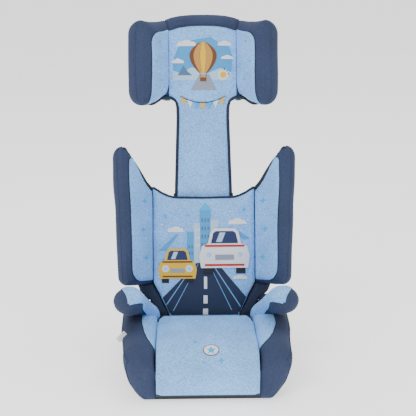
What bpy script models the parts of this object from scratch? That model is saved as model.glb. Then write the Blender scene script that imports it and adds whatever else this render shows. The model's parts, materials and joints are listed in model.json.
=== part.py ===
"""A high-back booster seat: a moulded base with hooked armrests, a backrest that tilts on a steel bar,
and a winged headrest on a sliding spine, held at seven heights by a sprung lever. Metres, +Z up. The
child faces -Y.

The base is modelled where it stands. The backrest and the headrest are modelled upright in the back
frame: x across, y backwards and z up the back, with its origin on the hinge bar. An empty leans it back.
"""

import math

import bmesh
import bpy
from mathutils import Vector

# The base.
DECK = 0.064
SHOULDER_TOP = 0.088
SHELL_FRONT = -0.192
SHELL_REAR = 0.195
WALL = 0.0035
GAP = 0.0004
CUSHION_HALF_WIDTH = 0.1165
CUSHION_REAR = 0.090
COVER_FRONT = -0.205
COVER_HEM = 0.009
RECESS_HALF_WIDTH = 0.136
RECESS_FRONT = 0.106
RIB_END = 0.1395

# The hinge bar and the lean of the back frame.
RECLINE = math.radians(17)
HINGE = Vector((0, 0.150, 0.078))
BAR_RADIUS = 0.004

# The backrest, in the back frame.
BACK_TOP = 0.281
TOWER_TOP = 0.2925
TOWER_HALF_WIDTH = 0.0745
SHELL_Y = 0.012
SHELL_WALL = 0.0035
PAD_BACK_Y = -0.010
PAD_FRONT_Y = -0.032
CREASE_X = 0.128
WING_START = 0.126
WING_SHELL_TIP = 0.2045
WING_SWEEP = 0.100

# The headrest and its slide, shown fully raised.
HEIGHT_STEPS = 6
HEIGHT_PITCH = 0.020
TOOTH_Z = 0.200
SPINE_HALF_WIDTH = 0.055
SPINE_Y = 0.0065
SPINE_THICKNESS = 0.004
SPINE_BOTTOM = 0.175
SPINE_TOP = 0.660
RIB_HALF_WIDTH = 0.045
RIB_Y = 0.0039
HEAD_SHELL_Y = 0.0035
HEAD_SHELL_WALL = 0.003
HEAD_NOTCH = 0.524
HEAD_CREASE_X = 0.085
HEAD_PAD_Y = -0.030

# The release lever, on its pin behind the backrest's shell.
PIVOT = Vector((0, 0.026, 0.235))
PIN_RADIUS = 0.002
RUNNING_GAP = 0.00035

SIDES = (("left", -1), ("right", 1))


# ---------------------------------------------------------------- materials

def material(name, colour, roughness, metallic=0.0):
    made = bpy.data.materials.new(name)
    made.use_nodes = True
    shader = made.node_tree.nodes["Principled BSDF"]
    shader.inputs["Base Color"].default_value = (*colour, 1)
    shader.inputs["Roughness"].default_value = roughness
    shader.inputs["Metallic"].default_value = metallic
    return made


# ---------------------------------------------------------------- shapes

def add_object(name, bm, look, parent=None):
    bmesh.ops.recalc_face_normals(bm, faces=bm.faces)
    mesh = bpy.data.meshes.new(name)
    bm.to_mesh(mesh)
    bm.free()
    if look:
        mesh.materials.append(look)
    obj = bpy.data.objects.new(name, mesh)
    bpy.context.scene.collection.objects.link(obj)
    obj.parent = parent
    return obj


def add_loft(name, rings, look, parent=None):
    """A closed body through rings of as many points each, capped at both ends."""
    bm = bmesh.new()
    rows = [[bm.verts.new(point) for point in ring] for ring in rings]
    count = len(rows[0])
    for low, high in zip(rows, rows[1:]):
        for i in range(count):
            j = (i + 1) % count
            bm.faces.new((low[i], low[j], high[j], high[i]))
    bm.faces.new(rows[0])
    bm.faces.new(rows[-1])
    return add_object(name, bm, look, parent)


def add_prism(name, outline, plane, low, high, look, parent=None):
    """Extrudes a 2-D outline from low to high along the axis that plane leaves out."""
    place = {
        "xz": lambda a, b, depth: Vector((a, depth, b)),
        "yz": lambda a, b, depth: Vector((depth, a, b)),
        "xy": lambda a, b, depth: Vector((a, b, depth)),
    }[plane]
    rings = [[place(a, b, depth) for a, b in outline] for depth in (low, high)]
    return add_loft(name, rings, look, parent)


def add_box(name, x, y, z, look, parent=None, bevel=0.0):
    """A box over the ranges x, y and z, each a pair in any order."""
    (x0, x1), (y0, y1) = sorted(x), sorted(y)
    obj = add_prism(name, [(x0, y0), (x1, y0), (x1, y1), (x0, y1)], "xy", *sorted(z), look, parent)
    if bevel:
        add_bevel(obj, bevel)
    return obj


def add_rod(name, start, axis, radius, length, look, parent=None, sides=16):
    """A cylinder of that length from start along axis, a letter."""
    outline = [
        (radius * math.cos(2 * math.pi * i / sides), radius * math.sin(2 * math.pi * i / sides))
        for i in range(sides)
    ]
    x, y, z = start
    if axis == "x":
        obj = add_prism(name, [(y + a, z + b) for a, b in outline], "yz", x, x + length, look, parent)
    elif axis == "y":
        obj = add_prism(name, [(x + a, z + b) for a, b in outline], "xz", y, y + length, look, parent)
    else:
        obj = add_prism(name, [(x + a, y + b) for a, b in outline], "xy", z, z + length, look, parent)
    shade(obj)
    return obj


def add_bevel(obj, width, segments=2):
    modifier = obj.modifiers.new("edges", "BEVEL")
    modifier.width = width
    modifier.segments = segments
    modifier.limit_method = "ANGLE"


def shade(obj, angle=35):
    obj.data.shade_smooth()
    obj.data.set_sharp_from_angle(angle=math.radians(angle))


def combine(obj, other, operation):
    """A Boolean with a helper, which stays out of the model."""
    modifier = obj.modifiers.new(operation.lower(), "BOOLEAN")
    modifier.operation = operation
    modifier.solver = "EXACT"
    modifier.object = other
    other.hide_render = True
    other.display_type = "WIRE"


def cut(obj, other):
    combine(obj, other, "DIFFERENCE")


def join(obj, other):
    combine(obj, other, "UNION")


def smooth(points, per_span=4, closed=False):
    """A Catmull-Rom curve through 2-D points."""
    points = [Vector(p) for p in points]
    count = len(points)
    line = []
    for i in range(count if closed else count - 1):
        if closed:
            a, b, c, d = (points[(i + k) % count] for k in (-1, 0, 1, 2))
        else:
            a, b, c, d = (points[max(0, min(count - 1, i + k))] for k in (-1, 0, 1, 2))
        for step in range(per_span):
            t = step / per_span
            line.append(0.5 * (2 * b + (c - a) * t + (2 * a - 5 * b + 4 * c - d) * t * t
                               + (3 * b - 3 * c + d - a) * t * t * t))
    if not closed:
        line.append(points[-1])
    return line


def mirrored(half):
    """A symmetric outline from its right half, which runs from the middle round to the middle."""
    return list(half) + [(-x, z) for x, z in reversed(half) if abs(x) > 1e-6]


def flipped(outline, side):
    return [(side * x, y) for x, y in outline]


def rounded_rectangle(half_width, front, rear, radius, steps=4):
    outline = []
    corners = ((1, rear, 0), (-1, rear, 90), (-1, front, 180), (1, front, 270))
    for side, y, start in corners:
        centre = Vector((side * (half_width - radius), y - radius if y == rear else y + radius))
        for step in range(steps + 1):
            angle = math.radians(start + 90 * step / steps)
            outline.append(centre + radius * Vector((math.cos(angle), math.sin(angle))))
    return outline


def oval(centre, across, upward, half_across, half_up, sides=20, power=2.6):
    """A rounded box section, as points round a centre."""
    ring = []
    for i in range(sides):
        angle = 2 * math.pi * i / sides
        c, s = math.cos(angle), math.sin(angle)
        a = math.copysign(abs(c) ** (2 / power), c) * half_across
        b = math.copysign(abs(s) ** (2 / power), s) * half_up
        ring.append(centre + across * a + upward * b)
    return ring


# ---------------------------------------------------------------- base

def tub_outline(grow):
    """Front view of the moulded base: flared sides, two shoulders and a lower deck between them."""
    return mirrored([
        (0.122 - grow, DECK + grow), (0.127 - grow, SHOULDER_TOP + grow), (0.176 + grow / 2, SHOULDER_TOP + grow),
        (0.1815 + grow, 0.0825 + grow / 2), (0.1535 + grow, 0.040), (0.1385 + grow, 0.0),
    ])


def add_tub_solid(name, grow, look=None):
    """The base's outer form, grown by so much on every side."""
    solid = add_prism(name, tub_outline(grow), "xz", SHELL_FRONT - grow, SHELL_REAR + grow, look)
    plan = rounded_rectangle(0.184 + grow, SHELL_FRONT - grow, SHELL_REAR + grow, 0.035)
    combine(solid, add_prism(f"{name}_plan", plan, "xy", -0.01, 0.12, None), "INTERSECT")
    return solid


def add_base_shell(plastic):
    shell = add_tub_solid("base_shell", 0, plastic)
    hollow = add_prism("cut_tub_hollow", [(x, z if z else -0.01) for x, z in tub_outline(-WALL)], "xz",
                       SHELL_FRONT + WALL, SHELL_REAR - WALL, None)
    plan = rounded_rectangle(0.184 - WALL, SHELL_FRONT + WALL, SHELL_REAR - WALL, 0.0315)
    combine(hollow, add_prism("hollow_plan", plan, "xy", -0.02, 0.12, None), "INTERSECT")
    cut(shell, hollow)
    join(shell, add_rod("centre_boss", (0, -0.02, 0), "z", 0.024, DECK - 0.001, None, sides=24))
    for index, y in enumerate((-0.100, -0.02, 0.060)):
        rib = add_box(f"cross_rib_{index}", (-RIB_END, RIB_END), (y, y + 0.003), (0.006, DECK - 0.001), None)
        join(shell, rib)
    join(shell, add_box("recess_bulkhead", (-RIB_END, RIB_END), (RECESS_FRONT - WALL, RECESS_FRONT),
                        (0.006, DECK - 0.001), None))
    for name, side in SIDES:
        cheek = add_box(f"recess_cheek_{name}", (side * RECESS_HALF_WIDTH, side * RIB_END),
                        (RECESS_FRONT - WALL, SHELL_REAR - 0.001), (0.006, SHOULDER_TOP - 0.001), None)
        join(shell, cheek)
    cut(shell, add_box("cut_recess", (-RECESS_HALF_WIDTH, RECESS_HALF_WIDTH), (RECESS_FRONT, SHELL_REAR - WALL),
                       (0.020, 0.12), None))
    for name, side in SIDES:
        stop = [(0.1697, 0.085), (0.1743, 0.100), (SHELL_REAR - 0.0005, 0.100), (SHELL_REAR - 0.0005, 0.055),
                (SHELL_REAR - WALL + 0.0005, 0.055)]
        join(shell, add_prism(f"recline_stop_{name}", stop, "yz", *sorted((side * 0.098, side * 0.126)), None))
    cut(shell, add_rod("cut_bar_hole", (-0.150, HINGE.y, HINGE.z), "x", BAR_RADIUS + RUNNING_GAP, 0.300, None))


def add_hinge_bar(steel):
    length = RECESS_HALF_WIDTH + 0.0048
    bar = add_rod("hinge_bar", (-length, HINGE.y, HINGE.z), "x", BAR_RADIUS, 2 * length, steel, sides=20)
    add_bevel(bar, 0.0006, 1)
    for name, side in SIDES:
        start = length + GAP if side > 0 else -length - GAP - 0.003
        add_rod(f"bar_clip_{name}", (start, HINGE.y, HINGE.z), "x", 0.0058, 0.003, steel)


ARMREST_STATIONS = (
    # Centre of each section, its half width and its half height, from the root to the front end.
    ((0.1500, 0.090, 0.082), 0.0230, 0.0200),
    ((0.1510, 0.078, 0.100), 0.0240, 0.0200),
    ((0.1540, 0.052, 0.120), 0.0300, 0.0205),
    ((0.1600, 0.022, 0.141), 0.0380, 0.0250),
    ((0.1660, -0.012, 0.162), 0.0440, 0.0295),
    ((0.1685, -0.042, 0.176), 0.0460, 0.0310),
    ((0.1685, -0.062, 0.1785), 0.0420, 0.0270),
    ((0.1685, -0.073, 0.1790), 0.0290, 0.0150),
)
HORN_SHARE = 0.40


def armrest_rings(side, share, grow, last=len(ARMREST_STATIONS)):
    """Sections along the armrest: share scales them about the path, and grow widens them."""
    centres = [Vector((side * x, y, z)) for (x, y, z), _, _ in ARMREST_STATIONS]
    rings = []
    for index in range(last):
        after = centres[min(index + 1, len(centres) - 1)]
        before = centres[max(index - 1, 0)]
        along = (after - before).normalized()
        across = (Vector((1, 0, 0)) - along * along.x).normalized()
        _, wide, tall = ARMREST_STATIONS[index]
        centre = centres[index]
        if grow and index == last - 1:
            centre = centre + along * grow
        rings.append(oval(centre, across, across.cross(along), wide * share + grow, tall * share + grow))
    return rings


def add_armrests(plastic, navy):
    for name, side in SIDES:
        over = (side * 0.08, side * 0.22)
        horn = add_loft(f"armrest_horn_{name}", armrest_rings(side, HORN_SHARE, 0, 6), plastic)
        cut(horn, add_box(f"cut_below_horn_{name}", over, (0, 0.16), (0, SHOULDER_TOP + GAP), None))
        shade(horn, 60)
        pad = add_loft(f"armrest_pad_{name}", armrest_rings(side, 1, 0), navy)
        cut(pad, add_loft(f"cut_horn_room_{name}", armrest_rings(side, HORN_SHARE, 0.0006, 6), None))
        cut(pad, add_box(f"cut_below_pad_{name}", over, (0, 0.16), (0, SHOULDER_TOP + GAP), None))
        shade(pad, 60)


def add_seat_cushion(light):
    profile = [
        (CUSHION_REAR, 0.0640), (CUSHION_REAR, 0.0790), (0.082, 0.0850), (0.0, 0.0900), (-0.100, 0.0965),
        (-0.158, 0.1010), (-0.182, 0.0985), (-0.197, 0.0890), (COVER_FRONT + 0.001, 0.0720),
        (COVER_FRONT, 0.0400), (COVER_FRONT + 0.003, COVER_HEM), (-0.180, COVER_HEM), (-0.180, 0.0600),
    ]
    cushion = add_prism("seat_cushion", profile, "yz", -CUSHION_HALF_WIDTH, CUSHION_HALF_WIDTH, light)
    cut(cushion, add_tub_solid("cut_cushion_room", GAP))
    shade(cushion)


def add_side_covers(navy):
    """A padded bolster round each side of the base."""
    inner = CUSHION_HALF_WIDTH + GAP
    # Each station's y, how far its outside draws in, and how far its top drops.
    stations = ((COVER_FRONT, 0.034, 0.036), (-0.199, 0.014, 0.016), (-0.184, 0.004, 0.004), (-0.150, 0, 0),
                (0.060, 0, 0), (0.150, 0.003, 0.004), (0.184, 0.012, 0.010))
    for name, side in SIDES:
        rings = []
        for y, narrow, drop in stations:
            section = [
                (inner, COVER_HEM), (inner, 0.092 - drop), (0.126, 0.105 - drop), (0.146, 0.115 - drop),
                (0.172 - narrow, 0.118 - drop), (0.190 - narrow, 0.112 - drop), (0.1990 - narrow, 0.100 - drop),
                (0.1975 - narrow, 0.083 - drop / 2), (0.181 - narrow * 0.6, 0.048), (0.162 - narrow * 0.35, 0.020),
                (0.1535 - narrow * 0.25, COVER_HEM),
            ]
            rings.append([Vector((side * x, y, z)) for x, z in section])
        cover = add_loft(f"side_cover_{name}", rings, navy)
        cut(cover, add_tub_solid(f"cut_side_room_{name}", GAP))
        cut(cover, add_loft(f"cut_armrest_room_{name}", armrest_rings(side, 1, 0.0006), None))
        recess = RECESS_HALF_WIDTH + 0.002
        cut(cover, add_box(f"cut_back_room_{name}", (0, side * recess), (0.094, 0.21), (0.0, 0.13), None))
        shade(cover)


def add_care_label(white):
    add_box("care_label", (-0.2110, -0.1996), (-0.0806, -0.0794), (0.0880, 0.1050), white)


# ---------------------------------------------------------------- backrest

def swept(y, start, tip, sweep, power=1.4):
    """How far the front face of a winged shell stands back at x: flat, then swept forward to its tip."""
    def at(x):
        share = max(0.0, (abs(x) - start) / (tip - start))
        return y - sweep * share ** power
    return at


BACK_FACE = swept(SHELL_Y, WING_START, WING_SHELL_TIP, WING_SWEEP)
HEAD_FACE = swept(HEAD_SHELL_Y - HEAD_SHELL_WALL, 0.090, 0.166, 0.084)


def shell_section(face, start, tip, thickness, grow=0.0):
    """Plan section of a winged plate, front face and then rear face, grown all round."""
    half = [start + (tip - start) * i / 8 for i in range(9)]
    xs = [-x for x in reversed(half)] + half
    front, rear = [], []
    for x in xs:
        along = Vector((0.002, face(x + 0.001) - face(x - 0.001))).normalized()
        normal = Vector((-along.y, along.x))
        point = Vector((x, face(x)))
        if abs(x) == tip:
            point += along * math.copysign(grow, x)
        front.append(tuple(point - normal * grow))
        rear.append(tuple(point + normal * (thickness + grow)))
    return front + rear[::-1]


def back_outline():
    """Front view of the backrest's shell, with its tower, its wings and its narrow foot."""
    return mirrored([
        (0.0, TOWER_TOP), (TOWER_HALF_WIDTH, TOWER_TOP), (TOWER_HALF_WIDTH, 0.276), (0.1016, 0.287),
        (0.1230, 0.302), (0.1400, 0.322), (0.1560, 0.350), (0.1690, 0.371), (0.1830, 0.388), (0.1950, 0.396),
        (0.2060, 0.388), (0.2100, 0.355), (0.2080, 0.120), (0.1980, 0.090), (0.1850, 0.080), (0.1330, 0.074),
        (0.1260, 0.050), (0.1080, -0.004), (0.0980, -0.020), (0.0, -0.020),
    ])


def wing_outline():
    """Front view of the right wing's padding: up the outside, over the tip and down the swoop."""
    swoop = smooth([
        (0.2100, 0.1500), (0.2170, 0.3220), (0.2222, 0.3590), (0.2124, 0.3974), (0.2000, 0.4060),
        (0.1890, 0.4020), (0.1764, 0.3880), (0.1624, 0.3666), (0.1486, 0.3427), (0.1351, 0.3213),
        (0.1211, 0.3068), (0.1180, 0.3040),
    ], 3)
    foot = smooth([(0.1180, 0.0690), (0.1600, 0.0690), (0.1900, 0.0710), (0.2040, 0.0850), (0.2090, 0.1090)], 3)
    return list(swoop) + list(foot)


def add_backrest_shell(plastic, back):
    section = shell_section(BACK_FACE, WING_START, WING_SHELL_TIP, SHELL_WALL)
    shell = add_prism("backrest_shell", section, "xy", -0.03, 0.41, plastic, back)
    combine(shell, add_prism("trim_back_outline", back_outline(), "xz", -0.2, 0.1, None, back), "INTERSECT")
    cut(shell, add_box("cut_tooth_window", (-0.012, 0.012), (-0.01, 0.03), (TOOTH_Z - 0.009, TOOTH_Z + 0.008),
                       None, back))
    shade(shell)
    return shell


def add_screw(name, holes, x, z, y, length, radius, steel, parent, inward=-1):
    """A screw whose head rests at y, with its shank going inwards through each of holes."""
    ends = sorted((y, y + inward * length))
    drill = add_rod(f"cut_{name}", (x, ends[0] - 0.006, z), "y", radius + 0.0004, length + 0.012, None, parent, 12)
    for piece in holes:
        cut(piece, drill)
    screw = add_rod(name, (x, ends[0], z), "y", radius, length, steel, parent, 12)
    head_start = y - 0.0002 if inward < 0 else y - 0.0018
    join(screw, add_rod(f"head_of_{name}", (x, head_start, z), "y", 2.1 * radius, 0.002, None, parent, 12))


def add_guide_rails(plastic, steel, shell, back):
    """Two channels that the headrest's spine slides in."""
    for name, side in SIDES:
        lip, wall, outside = SPINE_HALF_WIDTH - 0.008, SPINE_HALF_WIDTH + 0.0006, 0.0730
        front, floor = 0.0042, SHELL_Y - GAP
        outline = [(wall, floor), (outside, floor), (outside, front), (lip, front), (lip, 0.0062), (wall, 0.0062)]
        rail = add_prism(f"guide_rail_{name}", flipped(outline, side), "xy", 0.022, 0.288, plastic, back)
        for index, z in enumerate((0.050, 0.262)):
            rear = SHELL_Y + SHELL_WALL + GAP
            add_screw(f"rail_screw_{name}_{index + 1}", (rail, shell), side * 0.0645, z, rear, 0.0085, 0.0018,
                      steel, back)


def add_backrest_pads(light, navy, foam, back):
    centre = mirrored([
        (0.0, BACK_TOP), (0.0718, BACK_TOP), (0.1016, 0.2915), (0.1170, 0.3030), (0.1270, 0.3060),
        (0.1270, 0.0680), (0.1070, 0.0330), (0.0920, 0.0020), (0.0, 0.0020),
    ])
    add_prism("backrest_pad", centre, "xz", PAD_FRONT_Y, PAD_BACK_Y, light, back)
    room = shell_section(BACK_FACE, WING_START, WING_SHELL_TIP, SHELL_WALL, GAP)
    for name, side in SIDES:
        block = [(0.0780, 0.0100), (0.0940, 0.0100), (0.1080, 0.0380), (0.1240, 0.0700), (0.1240, 0.2950),
                 (0.1000, 0.2850), (0.0780, 0.2720)]
        add_prism(f"side_foam_{name}", flipped(block, side), "xz", PAD_BACK_Y + GAP, SHELL_Y - GAP, foam, back)
        section = [
            (CREASE_X - 0.0006, 0.0106), (CREASE_X - 0.0006, -0.0320), (0.1500, -0.0665), (0.1700, -0.1000),
            (0.1800, -0.1150), (0.1960, -0.1210), (0.2110, -0.1160), (0.2210, -0.1020), (0.2222, -0.0870),
            (0.2080, -0.0630), (0.1920, -0.0380), (0.1750, -0.0120), (0.1600, 0.0095), (0.1480, 0.0190),
            (0.1360, 0.0200), (0.1360, 0.0106),
        ]
        pad = add_prism(f"wing_pad_{name}", flipped(section, side), "xy", 0.03, 0.42, navy, back)
        trim = add_prism(f"trim_wing_{name}", flipped(wing_outline(), side), "xz", -0.2, 0.1, None, back)
        combine(pad, trim, "INTERSECT")
        cut(pad, add_prism(f"cut_wing_room_{name}", room, "xy", -0.05, 0.43, None, back))
        shade(pad)
        lower = [(0.0925, 0.0020), (0.1075, 0.0324), (0.1276, 0.0676), (0.1330, 0.0660), (0.1280, 0.0420),
                 (0.1180, 0.0060)]
        add_prism(f"lower_side_pad_{name}", flipped(lower, side), "xz", -0.0280, PAD_BACK_Y, navy, back)


def add_hinge_hooks(plastic, steel, shell, back):
    """C-shaped hooks that clip down over the hinge bar, on feet screwed to the shell."""
    bore = BAR_RADIUS + RUNNING_GAP
    steps = 14
    angles = [math.radians(-50 + 280 * i / steps) for i in range(steps + 1)]
    outline = [(0.0085 * math.cos(a), 0.0085 * math.sin(a)) for a in angles]
    outline += [(bore * math.cos(a), bore * math.sin(a)) for a in reversed(angles)]
    for name, side in SIDES:
        hook = add_prism(f"hinge_hook_{name}", outline, "yz", *sorted((side * 0.080, side * 0.094)), plastic, back)
        foot = add_box(f"hook_foot_{name}", (side * 0.080, side * 0.094), (0.0062, SHELL_Y - GAP),
                       (-0.009, 0.0090), None, back)
        join(hook, foot)
        stem = add_box(f"hook_stem_{name}", (side * 0.0800, side * 0.0940), (0.0085, SHELL_Y - GAP),
                       (-0.0155, -0.0085), None, back)
        join(hook, stem)
        rear = SHELL_Y + SHELL_WALL + GAP
        add_screw(f"hook_screw_{name}", (hook, shell), side * 0.087, -0.0125, rear, 0.0066, 0.0016, steel, back)


# ---------------------------------------------------------------- release lever

def add_release_lever(plastic, steel, shell, back):
    """A rocker on a pin: pressing its paddle draws the tooth out of the spine."""
    rear = SHELL_Y + SHELL_WALL + GAP
    housing = add_box("lever_housing", (-0.034, 0.034), (rear, 0.0340), (0.182, 0.2895), plastic, back, 0.002)
    cut(housing, add_box("cut_housing_room", (-0.0290, 0.0290), (0, 0.05), (0.1865, 0.2845), None, back))
    ear_rear = rear + 0.004
    for name, side in SIDES:
        ear = add_box(f"housing_ear_{name}", (side * 0.030, side * 0.046), (rear, ear_rear), (0.226, 0.244), None,
                      back)
        join(housing, ear)
        add_screw(f"housing_screw_{name}", (housing, shell), side * 0.040, 0.235, ear_rear + GAP, 0.0078, 0.0016,
                  steel, back)
    hole = add_rod("cut_pin_hole", (-0.0325, PIVOT.y, PIVOT.z), "x", PIN_RADIUS + RUNNING_GAP, 0.065, None, back)
    cut(housing, hole)
    add_rod("lever_pin", (-0.0320, PIVOT.y, PIVOT.z), "x", PIN_RADIUS, 0.064, steel, back)
    side_view = [
        (0.0235, TOOTH_Z - 0.0080), (0.0290, TOOTH_Z - 0.0080), (0.0310, 0.2300), (0.0318, 0.2400),
        (0.0340, 0.2520), (0.0400, 0.2740), (0.0385, 0.2790), (0.0350, 0.2780), (0.0300, 0.2620),
        (0.0240, 0.2460), (0.0205, 0.2380), (0.0205, 0.2310),
    ]
    lever = add_prism("release_lever", side_view, "yz", -0.0240, 0.0240, plastic, back)
    tooth = add_box("lever_tooth", (-0.008, 0.008), (0.0066, 0.0260), (TOOTH_Z - 0.003, TOOTH_Z + 0.003), None, back)
    join(lever, tooth)
    cut(lever, add_rod("cut_lever_bore", (-0.03, PIVOT.y, PIVOT.z), "x", PIN_RADIUS + RUNNING_GAP, 0.06, None, back))
    shade(lever)
    add_lever_spring(steel, back)


def add_lever_spring(steel, back):
    """A short compression spring between the shell and the paddle."""
    curve = bpy.data.curves.new("lever_spring", "CURVE")
    curve.dimensions = "3D"
    curve.bevel_depth = 0.0005
    curve.bevel_resolution = 1
    curve.use_fill_caps = True
    turns, per_turn, radius = 4, 12, 0.0035
    start, end = SHELL_Y + SHELL_WALL + 0.0012, 0.0275
    spline = curve.splines.new("POLY")
    spline.points.add(turns * per_turn)
    for i in range(turns * per_turn + 1):
        angle = 2 * math.pi * i / per_turn
        y = start + (end - start) * i / (turns * per_turn)
        spline.points[i].co = (radius * math.cos(angle), y, 0.2640 + radius * math.sin(angle), 1)
    curve.materials.append(steel)
    spring = bpy.data.objects.new("lever_spring", curve)
    bpy.context.scene.collection.objects.link(spring)
    spring.parent = back


# ---------------------------------------------------------------- headrest

def head_outline(shrink=0.0):
    """Front view of the headrest: a raised top arch between two ears that hang lower than the notch."""
    half = [(0.0, 0.7350)] + [tuple(p) for p in smooth([
        (0.0400, 0.7345), (0.0700, 0.7300), (0.1000, 0.7150), (0.1450, 0.7110), (0.1640, 0.7010),
        (0.1760, 0.6780), (0.1815, 0.6440), (0.1815, 0.6000), (0.1770, 0.5560), (0.1700, 0.5230),
        (0.1560, 0.5080), (0.1335, 0.5030), (0.1150, 0.5140), (0.0950, 0.5320),
    ], 3)] + [(0.0880, HEAD_NOTCH), (0.0, HEAD_NOTCH)]
    middle = Vector((0, 0.62))
    scaled = []
    for x, z in half:
        away = Vector((x, z)) - middle
        kept = away * (1 - shrink / away.length)
        scaled.append((kept.x, kept.y + middle.y))
    return mirrored(scaled)


def add_spine(plastic, head):
    """The flat spine that the headrest slides on, with a rib on its front and a row of notches."""
    rear = SPINE_Y + SPINE_THICKNESS
    outline = mirrored([
        (0.0, SPINE_TOP), (0.040, SPINE_TOP), (SPINE_HALF_WIDTH, SPINE_TOP - 0.015),
        (SPINE_HALF_WIDTH, SPINE_BOTTOM + 0.008), (SPINE_HALF_WIDTH - 0.008, SPINE_BOTTOM), (0.0, SPINE_BOTTOM),
    ])
    spine = add_prism("headrest_spine", outline, "xz", SPINE_Y, rear, plastic, head)
    rib = add_box("spine_rib", (-RIB_HALF_WIDTH, RIB_HALF_WIDTH), (RIB_Y, SPINE_Y + 0.001),
                  (SPINE_BOTTOM + 0.002, SPINE_TOP - 0.002), None, head)
    join(spine, rib)
    for step in range(HEIGHT_STEPS + 1):
        z = TOOTH_Z + step * HEIGHT_PITCH
        cut(spine, add_box(f"cut_notch_{step}", (-0.0095, 0.0095), (-0.02, 0.03), (z - 0.0058, z + 0.0040), None, head))
    return spine


def add_headrest_shell(plastic, steel, spine, head):
    section = shell_section(HEAD_FACE, 0.090, 0.166, HEAD_SHELL_WALL)
    shell = add_prism("headrest_shell", section, "xy", 0.49, 0.75, plastic, head)
    combine(shell, add_prism("trim_head_shell", head_outline(0.009), "xz", -0.2, 0.1, None, head), "INTERSECT")
    for name, side in SIDES:
        for index, z in enumerate((0.565, 0.640)):
            rear = SPINE_Y + SPINE_THICKNESS + GAP
            add_screw(f"head_screw_{name}_{index + 1}", (shell, spine), side * 0.030, z, rear, 0.0095, 0.0018,
                      steel, head)
    shade(shell)
    return shell


def add_head_pads(light, navy, head):
    rear = HEAD_SHELL_Y - HEAD_SHELL_WALL - GAP
    width = HEAD_CREASE_X - 0.0006
    centre = mirrored([(0.0, 0.7060), (0.045, 0.7045), (width, 0.6930), (width, HEAD_NOTCH), (0.0, HEAD_NOTCH)])
    add_prism("head_pad", centre, "xz", HEAD_PAD_Y, rear, light, head)
    room = shell_section(HEAD_FACE, 0.090, 0.166, HEAD_SHELL_WALL, GAP)
    for name, side in SIDES:
        section = [
            (HEAD_CREASE_X, rear), (HEAD_CREASE_X, HEAD_PAD_Y), (0.1020, -0.0640), (0.1160, -0.0930),
            (0.1250, -0.1100), (0.1420, -0.1180), (0.1600, -0.1150), (0.1750, -0.1040), (0.1815, -0.0860),
            (0.1790, -0.0660), (0.1660, -0.0330), (0.1480, -0.0020), (0.1340, 0.0110), (0.1180, 0.0140),
            (0.1080, 0.0135), (0.1080, rear),
        ]
        pad = add_prism(f"head_wing_pad_{name}", flipped(section, side), "xy", 0.49, 0.75, navy, head)
        trim = add_prism(f"trim_head_wing_{name}", head_outline(), "xz", -0.2, 0.1, None, head)
        combine(pad, trim, "INTERSECT")
        cut(pad, add_prism(f"cut_head_wing_room_{name}", room, "xy", 0.4, 0.8, None, head))
        shade(pad)
    top = add_prism("head_top_pad", head_outline(), "xz", -0.0400, rear, navy, head)
    keep = [(-width, 0.6936), (-0.045, 0.7051), (0.0, 0.7066), (0.045, 0.7051), (width, 0.6936), (width, 0.76),
            (-width, 0.76)]
    combine(top, add_prism("trim_head_top", keep, "xz", -0.1, 0.1, None, head), "INTERSECT")


def add_neck_pad(light, head):
    half = [(0.0, HEAD_NOTCH - 0.001), (0.0660, HEAD_NOTCH - 0.001), (0.0635, 0.500), (0.0660, 0.400), (0.0712, 0.255),
            (0.0, 0.255)]
    add_prism("neck_pad", mirrored(half), "xz", -0.0075, 0.0035, light, head)


def add_belt_guides(green, steel, shell, head):
    """A flat hook behind each ear: the shoulder belt slips in through its mouth and lies in its slot."""
    for name, side in SIDES:
        hook = smooth([
            (0.0760, 0.5830), (0.0920, 0.5850), (0.1030, 0.5750), (0.1060, 0.5550), (0.1050, 0.5330),
            (0.0960, 0.5240), (0.0820, 0.5240), (0.0720, 0.5330), (0.0700, 0.5590),
        ], 2, closed=True)
        guide = add_prism(f"belt_guide_{name}", flipped(hook, side), "xz", 0.0040, 0.0090, green, head)
        slot = [(0.0770, 0.5370), (0.0860, 0.5320), (0.1200, 0.5370), (0.1200, 0.5420), (0.0990, 0.5420),
                (0.0860, 0.5420), (0.0780, 0.5430)]
        cut(guide, add_prism(f"cut_guide_slot_{name}", flipped(slot, side), "xz", -0.05, 0.05, None, head))
        add_screw(f"guide_screw_{name}", (guide, shell), side * 0.0860, 0.5690, 0.0094, 0.0082, 0.0016, steel, head)


# ---------------------------------------------------------------- build

def lean_back():
    """Empties for the backrest and the headrest: upright frames on the bar, leaned back together."""
    back = bpy.data.objects.new("back_frame", None)
    bpy.context.scene.collection.objects.link(back)
    back.location = HINGE
    back.rotation_euler.x = -RECLINE
    head = bpy.data.objects.new("head_frame", None)
    bpy.context.scene.collection.objects.link(head)
    head.parent = back
    return back, head


def build():
    for obj in list(bpy.data.objects):
        bpy.data.objects.remove(obj)
    black = material("black_plastic", (0.020, 0.021, 0.024), 0.45)
    navy = material("navy_fabric", (0.040, 0.065, 0.150), 0.85)
    light = material("light_fabric", (0.33, 0.50, 0.74), 0.9)
    foam = material("foam", (0.75, 0.75, 0.72), 0.95)
    steel = material("steel", (0.6, 0.6, 0.62), 0.35, 1.0)
    green = material("green_plastic", (0.10, 0.42, 0.06), 0.4)
    white = material("label_fabric", (0.85, 0.85, 0.86), 0.8)
    back, head = lean_back()

    add_base_shell(black)
    add_hinge_bar(steel)
    add_armrests(black, navy)
    add_seat_cushion(light)
    add_side_covers(navy)
    add_care_label(white)

    back_shell = add_backrest_shell(black, back)
    add_guide_rails(black, steel, back_shell, back)
    add_backrest_pads(light, navy, foam, back)
    add_hinge_hooks(black, steel, back_shell, back)
    add_release_lever(black, steel, back_shell, back)

    spine = add_spine(black, head)
    head_shell = add_headrest_shell(black, steel, spine, head)
    add_head_pads(light, navy, head)
    add_neck_pad(light, head)
    add_belt_guides(green, steel, head_shell, head)


build()
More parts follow.
